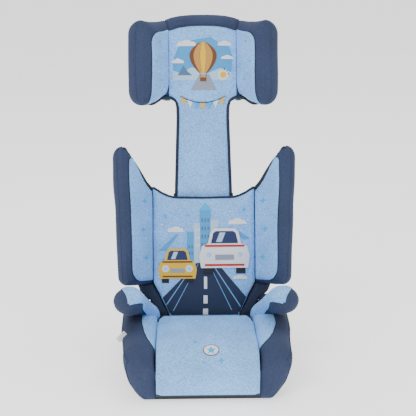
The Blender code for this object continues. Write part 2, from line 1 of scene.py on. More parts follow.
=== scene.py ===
"""The looks of the high-back booster seat: sewn covers, printed artwork, moulded plastic and studio."""

import json
import math

import bmesh
import bpy
import numpy as np
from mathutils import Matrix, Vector
from mathutils.bvhtree import BVHTree
from mathutils.geometry import delaunay_2d_cdt


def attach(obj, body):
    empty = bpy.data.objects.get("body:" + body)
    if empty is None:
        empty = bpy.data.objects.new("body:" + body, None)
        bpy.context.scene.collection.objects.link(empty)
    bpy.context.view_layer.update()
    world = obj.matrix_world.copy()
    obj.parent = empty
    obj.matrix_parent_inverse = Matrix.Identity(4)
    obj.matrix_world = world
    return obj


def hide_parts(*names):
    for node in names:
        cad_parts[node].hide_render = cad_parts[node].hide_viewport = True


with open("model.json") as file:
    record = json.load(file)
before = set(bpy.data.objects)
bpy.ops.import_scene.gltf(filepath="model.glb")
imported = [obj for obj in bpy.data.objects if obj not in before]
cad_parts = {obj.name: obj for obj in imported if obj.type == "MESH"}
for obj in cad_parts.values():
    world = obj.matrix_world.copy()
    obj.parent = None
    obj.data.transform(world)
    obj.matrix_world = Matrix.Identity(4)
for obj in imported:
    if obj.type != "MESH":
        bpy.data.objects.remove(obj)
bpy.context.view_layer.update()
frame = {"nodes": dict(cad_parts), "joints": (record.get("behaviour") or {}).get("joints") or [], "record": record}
NODES = frame["nodes"]
JOINTS = {joint["name"]: joint for joint in frame["joints"]}

# The back frame: its origin on the hinge bar, s up the back and t forward, towards the child.
HINGE = Vector(JOINTS["backrest_tilt"]["pos_m"])
UP = Vector(JOINTS["headrest_height"]["axis"]).normalized()
FORWARD = Vector((0, -UP.z, UP.y))
SIDES = (("left", -1), ("right", 1))


def on_back(x, t, s):
    """A point of the back frame in the row frame."""
    return HINGE + Vector((x, 0, 0)) + UP * s + FORWARD * t


# ---------------------------------------------------------------- materials

# A wave texture of scale 1 repeats at this distance, in metres.
WAVE_LENGTH = 0.314


class Look:
    """A node material, built up a node at a time."""

    def __init__(self, name, colour, roughness, metallic=0.0):
        self.material = bpy.data.materials.new(name)
        self.material.use_nodes = True
        self.tree = self.material.node_tree
        self.shader = self.tree.nodes["Principled BSDF"]
        self.shader.inputs["Base Color"].default_value = (*colour, 1)
        self.shader.inputs["Roughness"].default_value = roughness
        self.shader.inputs["Metallic"].default_value = metallic
        self.coordinates = self.add("ShaderNodeTexCoord").outputs["Object"]

    def add(self, kind, **values):
        node = self.tree.nodes.new(kind)
        for key, value in values.items():
            setattr(node, key, value)
        return node

    def link(self, source, target):
        self.tree.links.new(source, target)

    def stretched(self, scale):
        """Object coordinates, in metres, times scale along each axis."""
        mapping = self.add("ShaderNodeMapping")
        mapping.inputs["Scale"].default_value = scale
        self.link(self.coordinates, mapping.inputs["Vector"])
        return mapping.outputs["Vector"]

    def noise(self, scale, detail=2.0):
        """Noise with that many cells to the metre along each axis."""
        node = self.add("ShaderNodeTexNoise")
        node.inputs["Scale"].default_value = 1.0
        node.inputs["Detail"].default_value = detail
        self.link(self.stretched(scale), node.inputs["Vector"])
        return node.outputs["Fac"]

    def cells(self, scale):
        """Rounded cells, that many to the metre along each axis."""
        node = self.add("ShaderNodeTexVoronoi")
        node.inputs["Scale"].default_value = 1.0
        self.link(self.stretched(scale), node.inputs["Vector"])
        return node.outputs["Distance"]

    def ribs(self, pitch, direction):
        """Fine parallel ribs across an axis, pitch metres apart."""
        node = self.add("ShaderNodeTexWave", bands_direction=direction)
        node.inputs["Scale"].default_value = WAVE_LENGTH / pitch
        node.inputs["Distortion"].default_value = 0.6
        node.inputs["Detail"].default_value = 1.0
        self.link(self.coordinates, node.inputs["Vector"])
        return node.outputs["Fac"]

    def math(self, operation, a, b):
        node = self.add("ShaderNodeMath", operation=operation)
        for socket, value in zip(node.inputs, (a, b)):
            if isinstance(value, (int, float)):
                socket.default_value = value
            else:
                self.link(value, socket)
        return node.outputs[0]

    def ramp(self, factor, stops):
        """stops are (position, colour) pairs, where a colour has three parts."""
        node = self.add("ShaderNodeValToRGB")
        elements = node.color_ramp.elements
        while len(elements) < len(stops):
            elements.new(0.5)
        for element, (position, colour) in zip(elements, stops):
            element.position = position
            element.color = (*colour, 1)
        self.link(factor, node.inputs["Fac"])
        return node.outputs["Color"]

    def mix(self, factor, a, b, blend="MIX"):
        node = self.add("ShaderNodeMix", data_type="RGBA", blend_type=blend)
        for socket, value in ((node.inputs["Factor"], factor), (node.inputs["A"], a), (node.inputs["B"], b)):
            if isinstance(value, (int, float)):
                socket.default_value = value
            elif isinstance(value, tuple):
                socket.default_value = (*value, 1)
            else:
                self.link(value, socket)
        return node.outputs["Result"]

    def paint(self, colour):
        self.link(colour, self.shader.inputs["Base Color"])

    def rough(self, factor, low, high):
        """Roughness that runs from low to high with factor."""
        node = self.add("ShaderNodeMapRange")
        node.inputs["To Min"].default_value = low
        node.inputs["To Max"].default_value = high
        self.link(factor, node.inputs["Value"])
        self.link(node.outputs["Result"], self.shader.inputs["Roughness"])

    def bump(self, height, strength, distance):
        """Bumps on top of those that are already there."""
        node = self.add("ShaderNodeBump")
        node.inputs["Strength"].default_value = strength
        node.inputs["Distance"].default_value = distance
        self.link(height, node.inputs["Height"])
        previous = self.shader.inputs["Normal"].links
        if previous:
            self.link(previous[0].from_socket, node.inputs["Normal"])
        self.link(node.outputs["Normal"], self.shader.inputs["Normal"])

    def sheen(self, weight, tint, roughness):
        self.shader.inputs["Sheen Weight"].default_value = weight
        self.shader.inputs["Sheen Tint"].default_value = (*tint, 1)
        self.shader.inputs["Sheen Roughness"].default_value = roughness


def scaled(colour, factor):
    """A colour made darker or lighter, up to 1."""
    return tuple(min(1.0, part * factor) for part in colour)


def fabric(name, colour, heather, pitch=0.0016):
    """Knitted cloth: heather flecks, knitted courses and a soft, slightly worn surface."""
    look = Look(name, colour, 0.9)
    fine = look.noise((430, 430, 430), 1.5)
    streak = look.math("ADD", look.noise((190, 190, 900), 1.0), look.noise((900, 900, 170), 1.0))
    flecks = look.math("ADD", look.math("MULTIPLY", fine, 0.50), look.math("MULTIPLY", streak, 0.25))
    dark, pale = scaled(colour, 1 - heather), scaled(colour, 1 + heather)
    base = look.ramp(flecks, [(0.38, dark), (0.50, colour), (0.62, pale)])
    wear = look.noise((14, 14, 14), 3.0)
    worn = look.ramp(wear, [(0.35, (0.90, 0.90, 0.90)), (0.65, (1.05, 1.05, 1.05))])
    look.paint(look.mix(1.0, base, worn, "MULTIPLY"))
    look.rough(flecks, 0.78, 0.96)
    loops = look.math("MULTIPLY", look.ribs(pitch, "X"), look.ribs(pitch, "Z"))
    look.bump(loops, 0.35, 0.0004)
    look.bump(flecks, 0.30, 0.0004)
    look.bump(look.noise((45, 45, 45), 2.0), 0.12, 0.0015)
    look.sheen(0.14, scaled(colour, 1.8), 0.45)
    return look.material


def printed(name, colour):
    """Ink printed into the cloth: a flatter colour that still shows the knit."""
    look = Look(name, colour, 0.85)
    flecks = look.noise((800, 800, 800), 1.0)
    look.paint(look.ramp(flecks, [(0.35, scaled(colour, 0.86)), (0.6, colour), (0.8, scaled(colour, 1.10))]))
    look.bump(look.math("MULTIPLY", look.ribs(0.0016, "X"), look.ribs(0.0016, "Z")), 0.3, 0.0003)
    look.rough(flecks, 0.70, 0.90)
    return look.material


def moulded(name, colour, grain=0.4):
    """Moulded plastic with a fine spark-eroded grain, a slight sheen and rubbed patches."""
    look = Look(name, colour, 0.5)
    sparkle = look.noise((1500, 1500, 1500), 2.0)
    patches = look.noise((22, 22, 22), 4.0)
    look.paint(look.ramp(patches, [(0.35, scaled(colour, 0.85)), (0.7, scaled(colour, 1.35))]))
    look.rough(patches, 0.38, 0.62)
    look.bump(sparkle, grain, 0.00025)
    return look.material


def steel(name):
    """Zinc-plated steel, brushed along x."""
    look = Look(name, (0.55, 0.55, 0.57), 0.3, 1.0)
    brushed = look.noise((30, 1800, 1800), 2.0)
    look.paint(look.ramp(brushed, [(0.3, (0.46, 0.46, 0.48)), (0.7, (0.66, 0.66, 0.68))]))
    look.rough(look.noise((60, 60, 60), 3.0), 0.24, 0.42)
    look.bump(brushed, 0.15, 0.0001)
    return look.material


def beads(name):
    """Expanded foam: closed beads pressed together."""
    look = Look(name, (0.80, 0.80, 0.78), 0.9)
    cells = look.cells((320, 320, 320))
    look.paint(look.ramp(cells, [(0.0, (0.86, 0.86, 0.84)), (0.6, (0.62, 0.62, 0.60))]))
    look.bump(cells, 0.6, 0.0008)
    return look.material


LIGHT = fabric("light_melange", (0.235, 0.500, 1.000), 0.42)
NAVY = fabric("navy_knit", (0.026, 0.042, 0.098), 0.24, 0.0020)
# Painted shade: a darker copy of the navy knit, for the shade on the backrest's lower corners and along the seams
# where the piping runs.
SHADED_NAVY = fabric("navy_knit_painted_shade", (0.013, 0.022, 0.052), 0.16, 0.0020)
BINDING = fabric("binding_tape", (0.013, 0.021, 0.048), 0.12, 0.0012)
LABEL = fabric("label_cloth", (0.72, 0.71, 0.74), 0.06, 0.0008)
BLACK = moulded("black_plastic", (0.016, 0.017, 0.019))
GREEN = moulded("green_plastic", (0.085, 0.40, 0.045), 0.25)
STEEL = steel("zinc_steel")
FOAM = beads("expanded_foam")

# The look that each CAD node takes, from its material slot.
NODE_LOOKS = {
    "light_fabric": LIGHT,
    "navy_fabric": NAVY,
    "black_plastic": BLACK,
    "green_plastic": GREEN,
    "foam": FOAM,
    "steel": STEEL,
    "label_fabric": LABEL,
}


def assign(node, look):
    """Gives a carried-over CAD node its look."""
    data = NODES[node].data
    data.materials.clear()
    data.materials.append(look)
    for polygon in data.polygons:
        polygon.material_index = 0


# ---------------------------------------------------------------- meshes

def clamped(value):
    return max(0.0, min(1.0, value))


def finish_mesh(name, vertices, faces, look, body, weld=1e-6, recalc=True):
    """A smooth mesh piece that rides on a body, with near points welded."""
    mesh = bpy.data.meshes.new(name)
    mesh.from_pydata([tuple(v) for v in vertices], [], faces)
    bm = bmesh.new()
    bm.from_mesh(mesh)
    if weld:
        bmesh.ops.remove_doubles(bm, verts=bm.verts, dist=weld)
        bmesh.ops.dissolve_degenerate(bm, edges=bm.edges, dist=weld)
    if recalc:
        bmesh.ops.recalc_face_normals(bm, faces=bm.faces)
    bm.to_mesh(mesh)
    bm.free()
    mesh.shade_smooth()
    obj = bpy.data.objects.new(name, mesh)
    bpy.context.scene.collection.objects.link(obj)
    mesh.materials.append(look)
    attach(obj, body)
    return obj


def grid_faces(rows, columns, start=0, close_columns=False):
    """Quads over a grid of rows times columns vertices, numbered from start."""
    faces = []
    for i in range(rows - 1):
        row = start + i * columns
        for j in range(columns if close_columns else columns - 1):
            after = (j + 1) % columns
            faces.append((row + j, row + after, row + columns + after, row + columns + j))
    return faces


def closed_sheet(name, front, back, look, body):
    """A closed piece from two grids of the same size, joined round their rim. Rims that meet are welded."""
    rows, columns = len(front), len(front[0])
    vertices = [p for row in front for p in row] + [p for row in back for p in row]
    faces = grid_faces(rows, columns)
    count = rows * columns
    faces += [tuple(reversed(face)) for face in grid_faces(rows, columns, count)]
    rim = [(0, j) for j in range(columns)] + [(i, columns - 1) for i in range(1, rows)]
    rim += [(rows - 1, j) for j in range(columns - 2, -1, -1)] + [(i, 0) for i in range(rows - 2, 0, -1)]
    ids = [i * columns + j for i, j in rim]
    for a, b in zip(ids, ids[1:] + ids[:1]):
        faces.append((b, a, count + a, count + b))
    return finish_mesh(name, vertices, faces, look, body)


def sheet_of(name, vs, us, pair, look, body):
    """A closed piece with rows at vs and columns at us. pair(v, u) is a point in front and one behind."""
    rows = [[pair(v, u) for u in us] for v in vs]
    front = [[near for near, _ in row] for row in rows]
    back = [[far for _, far in row] for row in rows]
    return closed_sheet(name, front, back, look, body)


def tube(name, path, radius, look, body, sides=8, flat=1.0, upward=Vector((0, 0, 1))):
    """A cord along a path, round or, when flat is under 1, thinner in the upward direction."""
    points = [Vector(p) for p in path]
    count = len(points)
    vertices = []
    for i, point in enumerate(points):
        along = (points[min(i + 1, count - 1)] - points[max(i - 1, 0)]).normalized()
        across = along.cross(upward)
        across = across.normalized() if across.length > 1e-4 else Vector((1, 0, 0))
        up = across.cross(along).normalized()
        for k in range(sides):
            angle = 2 * math.pi * k / sides
            wide, high = math.cos(angle) * radius, math.sin(angle) * radius * flat
            vertices.append(point + across * wide + up * high)
    faces = grid_faces(count, sides, close_columns=True)
    faces.append(tuple(range(sides)))
    faces.append(tuple(range((count - 1) * sides, count * sides)))
    finish_mesh(name, vertices, faces, look, body, weld=0)


def spline(points, per_span=8):
    """A Catmull-Rom curve through points of any number of dimensions, as an array."""
    points = np.array(points, float)
    last = len(points) - 1
    line = []
    for i in range(last):
        a, b, c, d = points[[max(0, i - 1), i, i + 1, min(last, i + 2)]]
        for step in range(per_span):
            t = step / per_span
            line.append(0.5 * (2 * b + (c - a) * t + (2 * a - 5 * b + 4 * c - d) * t * t
                               + (3 * b - 3 * c + d - a) * t ** 3))
    line.append(points[-1])
    return np.array(line)


def resampled(points, count):
    """That many points at even distances along a line."""
    points = np.array(points, float)
    steps = np.linalg.norm(np.diff(points, axis=0), axis=1)
    length = np.concatenate(([0], np.cumsum(steps)))
    at = np.linspace(0, length[-1], count)
    return np.stack([np.interp(at, length, points[:, k]) for k in range(points.shape[1])], axis=1)


def read_line(line, share):
    """The point at that share of a line's points, and the number of the stretch that it lies on."""
    at = clamped(share) * (len(line) - 1)
    i = min(int(at), len(line) - 2)
    return line[i] + (line[i + 1] - line[i]) * (at - i), i


def lookup(pairs):
    """A function that reads between (x, y) pairs in rising x, eased a little at each pair."""
    xs, ys = zip(*pairs)

    def value(x):
        x = max(xs[0], min(xs[-1], x))
        for i in range(len(xs) - 1):
            if x <= xs[i + 1]:
                t = (x - xs[i]) / (xs[i + 1] - xs[i])
                t = t * t * (3 - 2 * t) * 0.35 + t * 0.65
                return ys[i] + (ys[i + 1] - ys[i]) * t
        return ys[-1]
    return value


def rounded(distance, radius):
    """0 at an edge and 1 from radius inwards, along a quarter circle."""
    share = clamped(distance / radius)
    return math.sqrt(max(0.0, 1 - (1 - share) ** 2))


def spaced(count, edge=0.5):
    """Values from 0 to 1, closer together near both ends."""
    values = []
    for i in range(count):
        u = i / (count - 1)
        values.append((1 - edge) * u + edge * (0.5 - 0.5 * math.cos(math.pi * u)))
    return values


def ripple(x, y, z, size=0.03, phase=0.0):
    """A small smooth wander between -1 and 1, for cloth that isn't perfectly even."""
    a = math.sin(x / size * 2.1 + phase) * math.cos(y / size * 1.7 + 1.3 * phase)
    b = math.sin(z / size * 2.6 + 0.7 + phase) * math.cos((x + y) / size * 1.1)
    return 0.5 * (a + b)


# ---------------------------------------------------------------- padded wings

class Wing:
    """A padded wing of the backrest or the headrest.

    Its plan section runs from the crease along the inner face to the rim, and home along the outer face.
    Both faces are read at m, from 0 at the crease to 1 at the rim. Its bottom and top edges are rounded.
    """

    def __init__(self, side, inner, outer, bottom, top, low_radius, high_radius, spread, phase):
        self.side = side
        self.inner = resampled(spline(inner), 60)
        self.outer = resampled(spline(outer), 60)
        self.bottom, self.top = bottom, top
        self.low_radius, self.high_radius = low_radius, high_radius
        self.spread = spread
        self.phase = phase

    def point(self, m, w, outer=False, proud=0.0):
        """The surface at m and at w of the way from the bottom edge to the top edge."""
        low, high = self.bottom(m), self.top(m)
        s = low + (high - low) * w
        swell = rounded(s - low, self.low_radius) * rounded(high - s, self.high_radius)
        near, _ = read_line(self.inner, m)
        far, _ = read_line(self.outer, m)
        middle = (near + far) / 2
        half = (far if outer else near) - middle
        length = max(1e-6, np.linalg.norm(half))
        give = 0.0012 * ripple(m * 0.1, s, near[1], 0.035, self.phase) * min(1.0, length / 0.012)
        x, t = middle + half * (swell + (give + proud) / length)
        x += self.spread(s) * clamped((x - self.inner[0][0]) / 0.08)
        return on_back(self.side * x, t, s)

    def levels(self, count=18, edge=7):
        """Heights from 0 to 1 that are closer together round the edges."""
        height = self.top(0.8) - self.bottom(0.8)
        low, high = self.low_radius / height, self.high_radius / height
        arc = [1 - math.cos(math.pi / 2 * i / edge) for i in range(edge)]
        middle = [low + (1 - low - high) * i / count for i in range(count + 1)]
        return [low * a for a in arc] + middle + [1 - high * a for a in reversed(arc)]

    def build(self, name, look, body):
        """The wing's cover, with its points closer together towards the rim."""
        steps = 26
        shares = [1 - (1 - i / steps) ** 1.5 for i in range(steps + 1)]
        rows = []
        for w in self.levels():
            row = [self.point(m, w) for m in shares]
            row += [self.point(m, w, outer=True) for m in reversed(shares[:-1])]
            rows.append(row)
        columns = len(rows[0])
        vertices = [p for row in rows for p in row]
        faces = grid_faces(len(rows), columns, close_columns=True)
        return finish_mesh(name, vertices, faces, look, body, weld=2e-5)

    def panel(self, name, span, edge, look, body):
        """A sewn panel over the span of heights, which reaches from the crease to edge(v)."""
        low, high = span

        def pair(v, u):
            m, w = edge(v) * u, low + (high - low) * v
            height = (high - low) * (self.top(m) - self.bottom(m))
            puff = rounded(min(v * height, (1 - v) * height, (1 - u) * edge(v) * 0.10), 0.010)
            return self.point(m, w, proud=-0.0010 + 0.0032 * puff), self.point(m, w, proud=-0.0035)

        return sheet_of(name, spaced(30, 0.85), spaced(18, 0.85), pair, look, body)


# The plan sections of the wings are (x, t) points. Their bottoms and tops are (m, s) pairs.
BACK_INNER = [(0.1270, 0.0300), (0.1400, 0.0500), (0.1560, 0.0760), (0.1720, 0.1010), (0.1830, 0.1150),
              (0.1960, 0.1205)]
BACK_OUTER = [(0.1360, -0.0190), (0.1490, -0.0185), (0.1620, -0.0080), (0.1780, 0.0140), (0.1960, 0.0420),
              (0.2110, 0.0680), (0.2195, 0.0900), (0.2170, 0.1080), (0.2070, 0.1180), (0.1960, 0.1205)]
BACK_BOTTOM = lookup([(0.0, 0.0690), (0.5, 0.0670), (0.85, 0.0690), (1.0, 0.0720)])
BACK_TOP = lookup([(0.0, 0.3035), (0.10, 0.3130), (0.25, 0.3290), (0.40, 0.3480), (0.55, 0.3700),
                   (0.70, 0.3890), (0.85, 0.4015), (1.0, 0.4030)])
# How far the backrest's wings lean outwards at each height s.
BACK_SPREAD = lookup([(0.06, -0.0120), (0.12, -0.0090), (0.25, -0.0050), (0.32, 0.0), (0.40, 0.0010)])
HEAD_INNER = [(0.0850, 0.0270), (0.0960, 0.0500), (0.1080, 0.0760), (0.1180, 0.0960), (0.1280, 0.1100),
              (0.1450, 0.1175)]
HEAD_OUTER = [(0.1100, -0.0140), (0.1200, -0.0150), (0.1330, -0.0100), (0.1480, 0.0060), (0.1660, 0.0360),
              (0.1780, 0.0640), (0.1815, 0.0860), (0.1760, 0.1030), (0.1620, 0.1140), (0.1450, 0.1175)]
HEAD_BOTTOM = lookup([(0.0, 0.5350), (0.15, 0.5255), (0.3, 0.5150), (0.6, 0.5040), (0.85, 0.5010),
                      (1.0, 0.5010)])
HEAD_TOP = lookup([(0.0, 0.7215), (0.2, 0.7160), (0.45, 0.7110), (0.8, 0.7070), (1.0, 0.7035)])


def corner(v, height, radius, share):
    """How far a panel's corner draws in, as a share, near the top or the bottom."""
    away = min(v, 1 - v) * height
    return share * (1 - rounded(away, radius))


def back_wing_edge(v):
    """How far the light panel of a backrest wing reaches towards the rim."""
    return 0.855 - (corner(v, 0.26, 0.026, 0.36) if v > 0.5 else corner(v, 0.26, 0.022, 0.30))


def ear_edge(v):
    """How far the light panel of a headrest wing reaches towards the rim."""
    return 0.80 - corner(v, 0.19, 0.030, 0.30 if v > 0.5 else 0.16)


PANELS = {}


def add_wings(kind, pad, body, make, edge, span, piping, welt_at, welt_points):
    """A pair of wings: the navy cover, the light panel with its piping, and the welt along the rim."""
    wings = {}
    low, high = span
    for index, (name, side) in enumerate(SIDES):
        wing = make(side, index)
        cover = wing.build(f"{kind}_cover_{name}", NAVY, body)
        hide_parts(f"{pad}_{name}")
        panel = wing.panel(f"{kind}_panel_{name}", span, edge, LIGHT, body)
        PANELS[kind, name] = panel
        seam = [wing.point(edge(v), low + (high - low) * v, proud=0.0008) for v in np.linspace(0, 1, 70)]
        # The piping is in the darker copy of the navy knit: painted shade along the seam.
        tube(f"{kind}_piping_{name}", seam, piping, SHADED_NAVY, body, sides=6)
        rim = [wing.point(welt_at, w, outer=True, proud=0.0003) for w in wing.levels()[3:-3]]
        tube(f"{kind}_welt_{name}", resampled(rim, welt_points), 0.0010, NAVY, body, sides=6)
        wings[name] = wing
    return wings


def back_wing(side, index):
    return Wing(side, BACK_INNER, BACK_OUTER, BACK_BOTTOM, BACK_TOP, 0.020, 0.024, BACK_SPREAD, 0.8 + index)


def ear(side, index):
    return Wing(side, HEAD_INNER, HEAD_OUTER, HEAD_BOTTOM, HEAD_TOP, 0.036, 0.032, lambda s: 0.0, 2.1 + index)


# ---------------------------------------------------------------- flat pads

def outlined_pad(name, half_width, bottom, top, front, back, look, body, edge, rows=40, columns=40):
    """A crowned pad over an outline: half_width(s), bottom and top(x), between the faces front and back."""
    def pair(v, u):
        a = 2 * u - 1
        x = a * half_width(bottom + (top(0) - bottom) * v)
        high = top(abs(x))
        s = bottom + (high - bottom) * v
        across = rounded((1 - abs(a)) * half_width(s), edge)
        swell = across * rounded(s - bottom, edge) * rounded(high - s, edge)
        near, far = front(x, s), back(x, s)
        middle, half = (near + far) / 2, (near - far) / 2
        return on_back(x, middle + half * swell, s), on_back(x, middle - half * swell, s)

    return sheet_of(name, spaced(rows, 0.8), spaced(columns, 0.8), pair, look, body)


BACK_HALF = lookup([(-0.014, 0.0870), (0.0, 0.0910), (0.033, 0.1070), (0.068, 0.1268), (0.31, 0.1268)])
BACK_CENTRE_TOP = lookup([(0.0, 0.2795), (0.0718, 0.2810), (0.0860, 0.2845), (0.1016, 0.2915),
                          (0.1160, 0.3005), (0.1270, 0.3085)])


def back_front(x, s):
    """The front of the backrest's middle: crowned across and along, with a faint wander."""
    across = 0.0050 * (1 - (x / 0.127) ** 2)
    along = 0.0035 * math.sin(math.pi * clamped((s - 0.01) / 0.28))
    return 0.0295 + across * 0.5 + along + 0.0010 * ripple(x, 0.0, s, 0.05, 0.4)


def back_rear(x, s):
    """The rear of the backrest's middle, which comes forward at its foot."""
    return 0.0104 + 0.5 * max(0.0, 0.012 - s)


def add_back_centre():
    pad = outlined_pad("backrest_cover", BACK_HALF, -0.0135, BACK_CENTRE_TOP, back_front, back_rear, LIGHT,
                       "backrest", edge=0.010)
    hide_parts("backrest_pad")
    return pad


def add_back_binding(wings):
    """The dark binding along the backrest's top: down one wing's edge, across and up the other."""
    left, right = ([wings[name].point(m, 0.988, proud=0.0002) for m in np.linspace(0.95, 0.03, 40)]
                   for name, _ in SIDES)
    middle = [on_back(x, 0.0240, BACK_CENTRE_TOP(abs(x)) + 0.0004) for x in np.linspace(-0.122, 0.122, 50)]
    path = left + middle + right[::-1]
    tube("backrest_binding", resampled(path, 200), 0.0030, BINDING, "backrest")


# The lower corners' inner and outer edges are (s, x) pairs.
LOWER_INNER = lookup([(-0.012, 0.0885), (0.000, 0.0925), (0.033, 0.1080), (0.070, 0.1280)])
LOWER_OUTER = lookup([(-0.012, 0.1180), (0.000, 0.1245), (0.030, 0.1330), (0.036, 0.1410), (0.043, 0.1510),
                      (0.051, 0.1590), (0.070, 0.1650)])
LOWER_BOTTOM, LOWER_HEIGHT = -0.011, 0.081


def add_lower_sides():
    """The backrest's lower corners, between the middle and the armrests, in the darker copy of the navy knit:
    painted shade.
    """
    for name, side in SIDES:
        def pair(v, u, side=side):
            s = LOWER_BOTTOM + LOWER_HEIGHT * v
            x = LOWER_INNER(s) + (LOWER_OUTER(s) - LOWER_INNER(s)) * u
            swell = rounded(min(u, 1 - u) * 0.02, 0.005) * rounded(min(v, 1 - v) * LOWER_HEIGHT, 0.008)
            return on_back(side * x, 0.019 + 0.011 * swell, s), on_back(side * x, 0.019 - 0.008 * swell, s)

        pad = sheet_of(f"lower_side_cover_{name}", spaced(16, 0.8), spaced(12, 0.8), pair, SHADED_NAVY,
                       "backrest")
        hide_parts(f"lower_side_pad_{name}")


# ---------------------------------------------------------------- headrest middle and neck

HEAD_BODY_HALF = 0.0925
HEAD_PANEL_HALF = 0.0836
HEAD_ARCH = lookup([(0.0, 0.7350), (0.030, 0.7346), (0.055, 0.7325), (0.075, 0.7285), (0.0925, 0.7225)])
HEAD_PANEL_TOP = lookup([(0.0, 0.7050), (0.030, 0.7042), (0.055, 0.7010), (0.0840, 0.6925)])
# The half width x and the front t of the panel over the headrest and its neck, at each height s.
NECK_HALF = lookup([(0.255, 0.0655), (0.287, 0.0648), (0.400, 0.0615), (0.480, 0.0590), (0.505, 0.0595),
                    (0.5150, 0.0615), (0.5220, 0.0650), (0.5275, 0.0720), (0.5320, 0.0836), (0.72, 0.0836)])
NECK_T = lookup([(0.25, 0.0070), (0.49, 0.0075), (0.515, 0.0110), (0.545, 0.0240), (0.58, 0.0300),
                 (0.66, 0.0310), (0.72, 0.0290)])
# Where the neck's binding runs out under the ears, as x, t and s.
BINDING_END = ((0.0655, 0.0120, 0.5185), (0.0700, 0.0150, 0.5235), (0.0770, 0.0190, 0.5275),
               (0.0870, 0.0200, 0.5295), (0.0960, 0.0190, 0.5285), (0.1020, 0.0160, 0.5265))


def head_front(x, s):
    """The front of the headrest's navy body, sunk behind the panel and full outside it."""
    return min(0.0330 - 0.0030 * (x / 0.09) ** 2, NECK_T(s) - 0.0015 + 0.03 * max(0.0, abs(x) - 0.083))


def head_panel_front(x, s):
    crown = (0.0045 if s > 0.54 else 0.0030) * (1 - (x / 0.084) ** 2)
    return NECK_T(s) + crown + 0.0006 * ripple(x, 0, s, 0.04, 1.9)


def add_head_middle():
    """The headrest's navy body, the light panel over it and the neck, and their bindings."""
    body = outlined_pad("head_cover", lambda s: HEAD_BODY_HALF, 0.5240, HEAD_ARCH, head_front,
                        lambda x, s: 0.0004, NAVY, "headrest", edge=0.017, rows=30, columns=36)
    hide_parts("head_top_pad")
    panel = outlined_pad("head_and_neck_panel", NECK_HALF, 0.2550, HEAD_PANEL_TOP, head_panel_front,
                         lambda x, s: NECK_T(s) - 0.0035, LIGHT, "headrest", edge=0.005, rows=84, columns=36)
    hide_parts("head_pad", "neck_pad")
    for name, side in SIDES:
        path = []
        for s in np.linspace(0.2555, 0.5120, 60):
            path.append(on_back(side * (NECK_HALF(s) + 0.0030), NECK_T(s) - 0.0002, s))
        path += [on_back(side * x, t, s) for x, t, s in BINDING_END]
        tube(f"neck_binding_{name}", resampled(path, 110), 0.0037, BINDING, "headrest", sides=10, flat=0.8,
             upward=FORWARD)
    arch = [on_back(x, 0.0322, HEAD_PANEL_TOP(abs(x)) + 0.0004)
            for x in np.linspace(-HEAD_PANEL_HALF, HEAD_PANEL_HALF, 50)]
    # The piping is in the darker copy of the navy knit: painted shade along the seam.
    tube("head_panel_piping", arch, 0.0010, SHADED_NAVY, "headrest", sides=6)
    return panel


# ---------------------------------------------------------------- base

# The middle of the seat in y and z: from its rear, forward over the crest and down the front.
CUSHION_PATH = [(0.0895, 0.0700), (0.0880, 0.0790), (0.0780, 0.0840), (0.0400, 0.0862), (-0.0400, 0.0912),
                (-0.1100, 0.0962), (-0.1500, 0.0985), (-0.1740, 0.0965), (-0.1920, 0.0860), (-0.2010, 0.0700),
                (-0.2030, 0.0500), (-0.2030, 0.0300), (-0.2015, 0.0150)]
CUSHION_HALF = 0.1172


def add_seat_cushion():
    path = resampled(spline(CUSHION_PATH), 90)
    count = len(path)
    length = np.concatenate(([0], np.cumsum(np.linalg.norm(np.diff(path, axis=0), axis=1))))
    front_rows, back_rows = [], []
    for i in range(count):
        ahead, behind = path[min(count - 1, i + 1)], path[max(0, i - 1)]
        along = (ahead - behind) / np.linalg.norm(ahead - behind)
        inward = np.array([along[1], -along[0]])
        from_rear, from_front = length[i], length[-1] - length[i]
        half = CUSHION_HALF - 0.030 * (1 - rounded(from_rear, 0.085))
        front_row, back_row = [], []
        for u in spaced(48, 0.75):
            a = 2 * u - 1
            x = a * half
            swell = rounded((1 - abs(a)) * half, 0.008) * rounded(from_rear, 0.010)
            swell *= rounded(from_front, 0.006)
            crown = 0.0060 * (1 - abs(a) ** 2.4) * min(1.0, from_rear / 0.05) * min(1.0, from_front / 0.05)
            wander = 0.0009 * ripple(x, path[i][0], path[i][1], 0.05, 0.9)
            lift = -0.0030 + (0.0030 + crown + wander) * swell
            front_row.append(Vector((x, *(path[i] - inward * lift))))
            back_row.append(Vector((x, *(path[i] + inward * (0.0030 + 0.0050 * swell)))))
        front_rows.append(front_row)
        back_rows.append(back_row)
    cushion = closed_sheet("seat_cushion_cover", front_rows, back_rows, LIGHT, "base")
    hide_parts("seat_cushion")
    hem = [Vector((x, -0.2030, 0.0165)) for x in np.linspace(-0.1165, 0.1165, 40)]
    tube("seat_hem", hem, 0.0046, NAVY, "base", sides=10, flat=0.45, upward=Vector((0, -1, 0)))
    return cushion


# The bolster's section in x and z: up beside the cushion, over the top and down the flank.
SIDE_SECTION = [
    (0.1176, 0.0760), (0.1180, 0.0900), (0.1215, 0.0995), (0.1300, 0.1075), (0.1450, 0.1145),
    (0.1620, 0.1175), (0.1780, 0.1165), (0.1900, 0.1110), (0.1975, 0.1020), (0.1985, 0.0900),
    (0.1935, 0.0740), (0.1835, 0.0540), (0.1725, 0.0340), (0.1620, 0.0180), (0.1545, 0.0100),
]
SIDE_LINE = resampled(spline(SIDE_SECTION), 80)
BASE_FRONT = -0.205


def side_shape(y):
    """How the bolster's section narrows and drops at y: rounded over at the front, drawn in at the rear."""
    from_front = y - BASE_FRONT
    narrow = 1 - rounded(from_front, 0.036) ** 0.8
    drop = 1 - rounded(from_front, 0.052)
    rear = max(0.0, (y - 0.090) / 0.095)
    return narrow, drop, rear


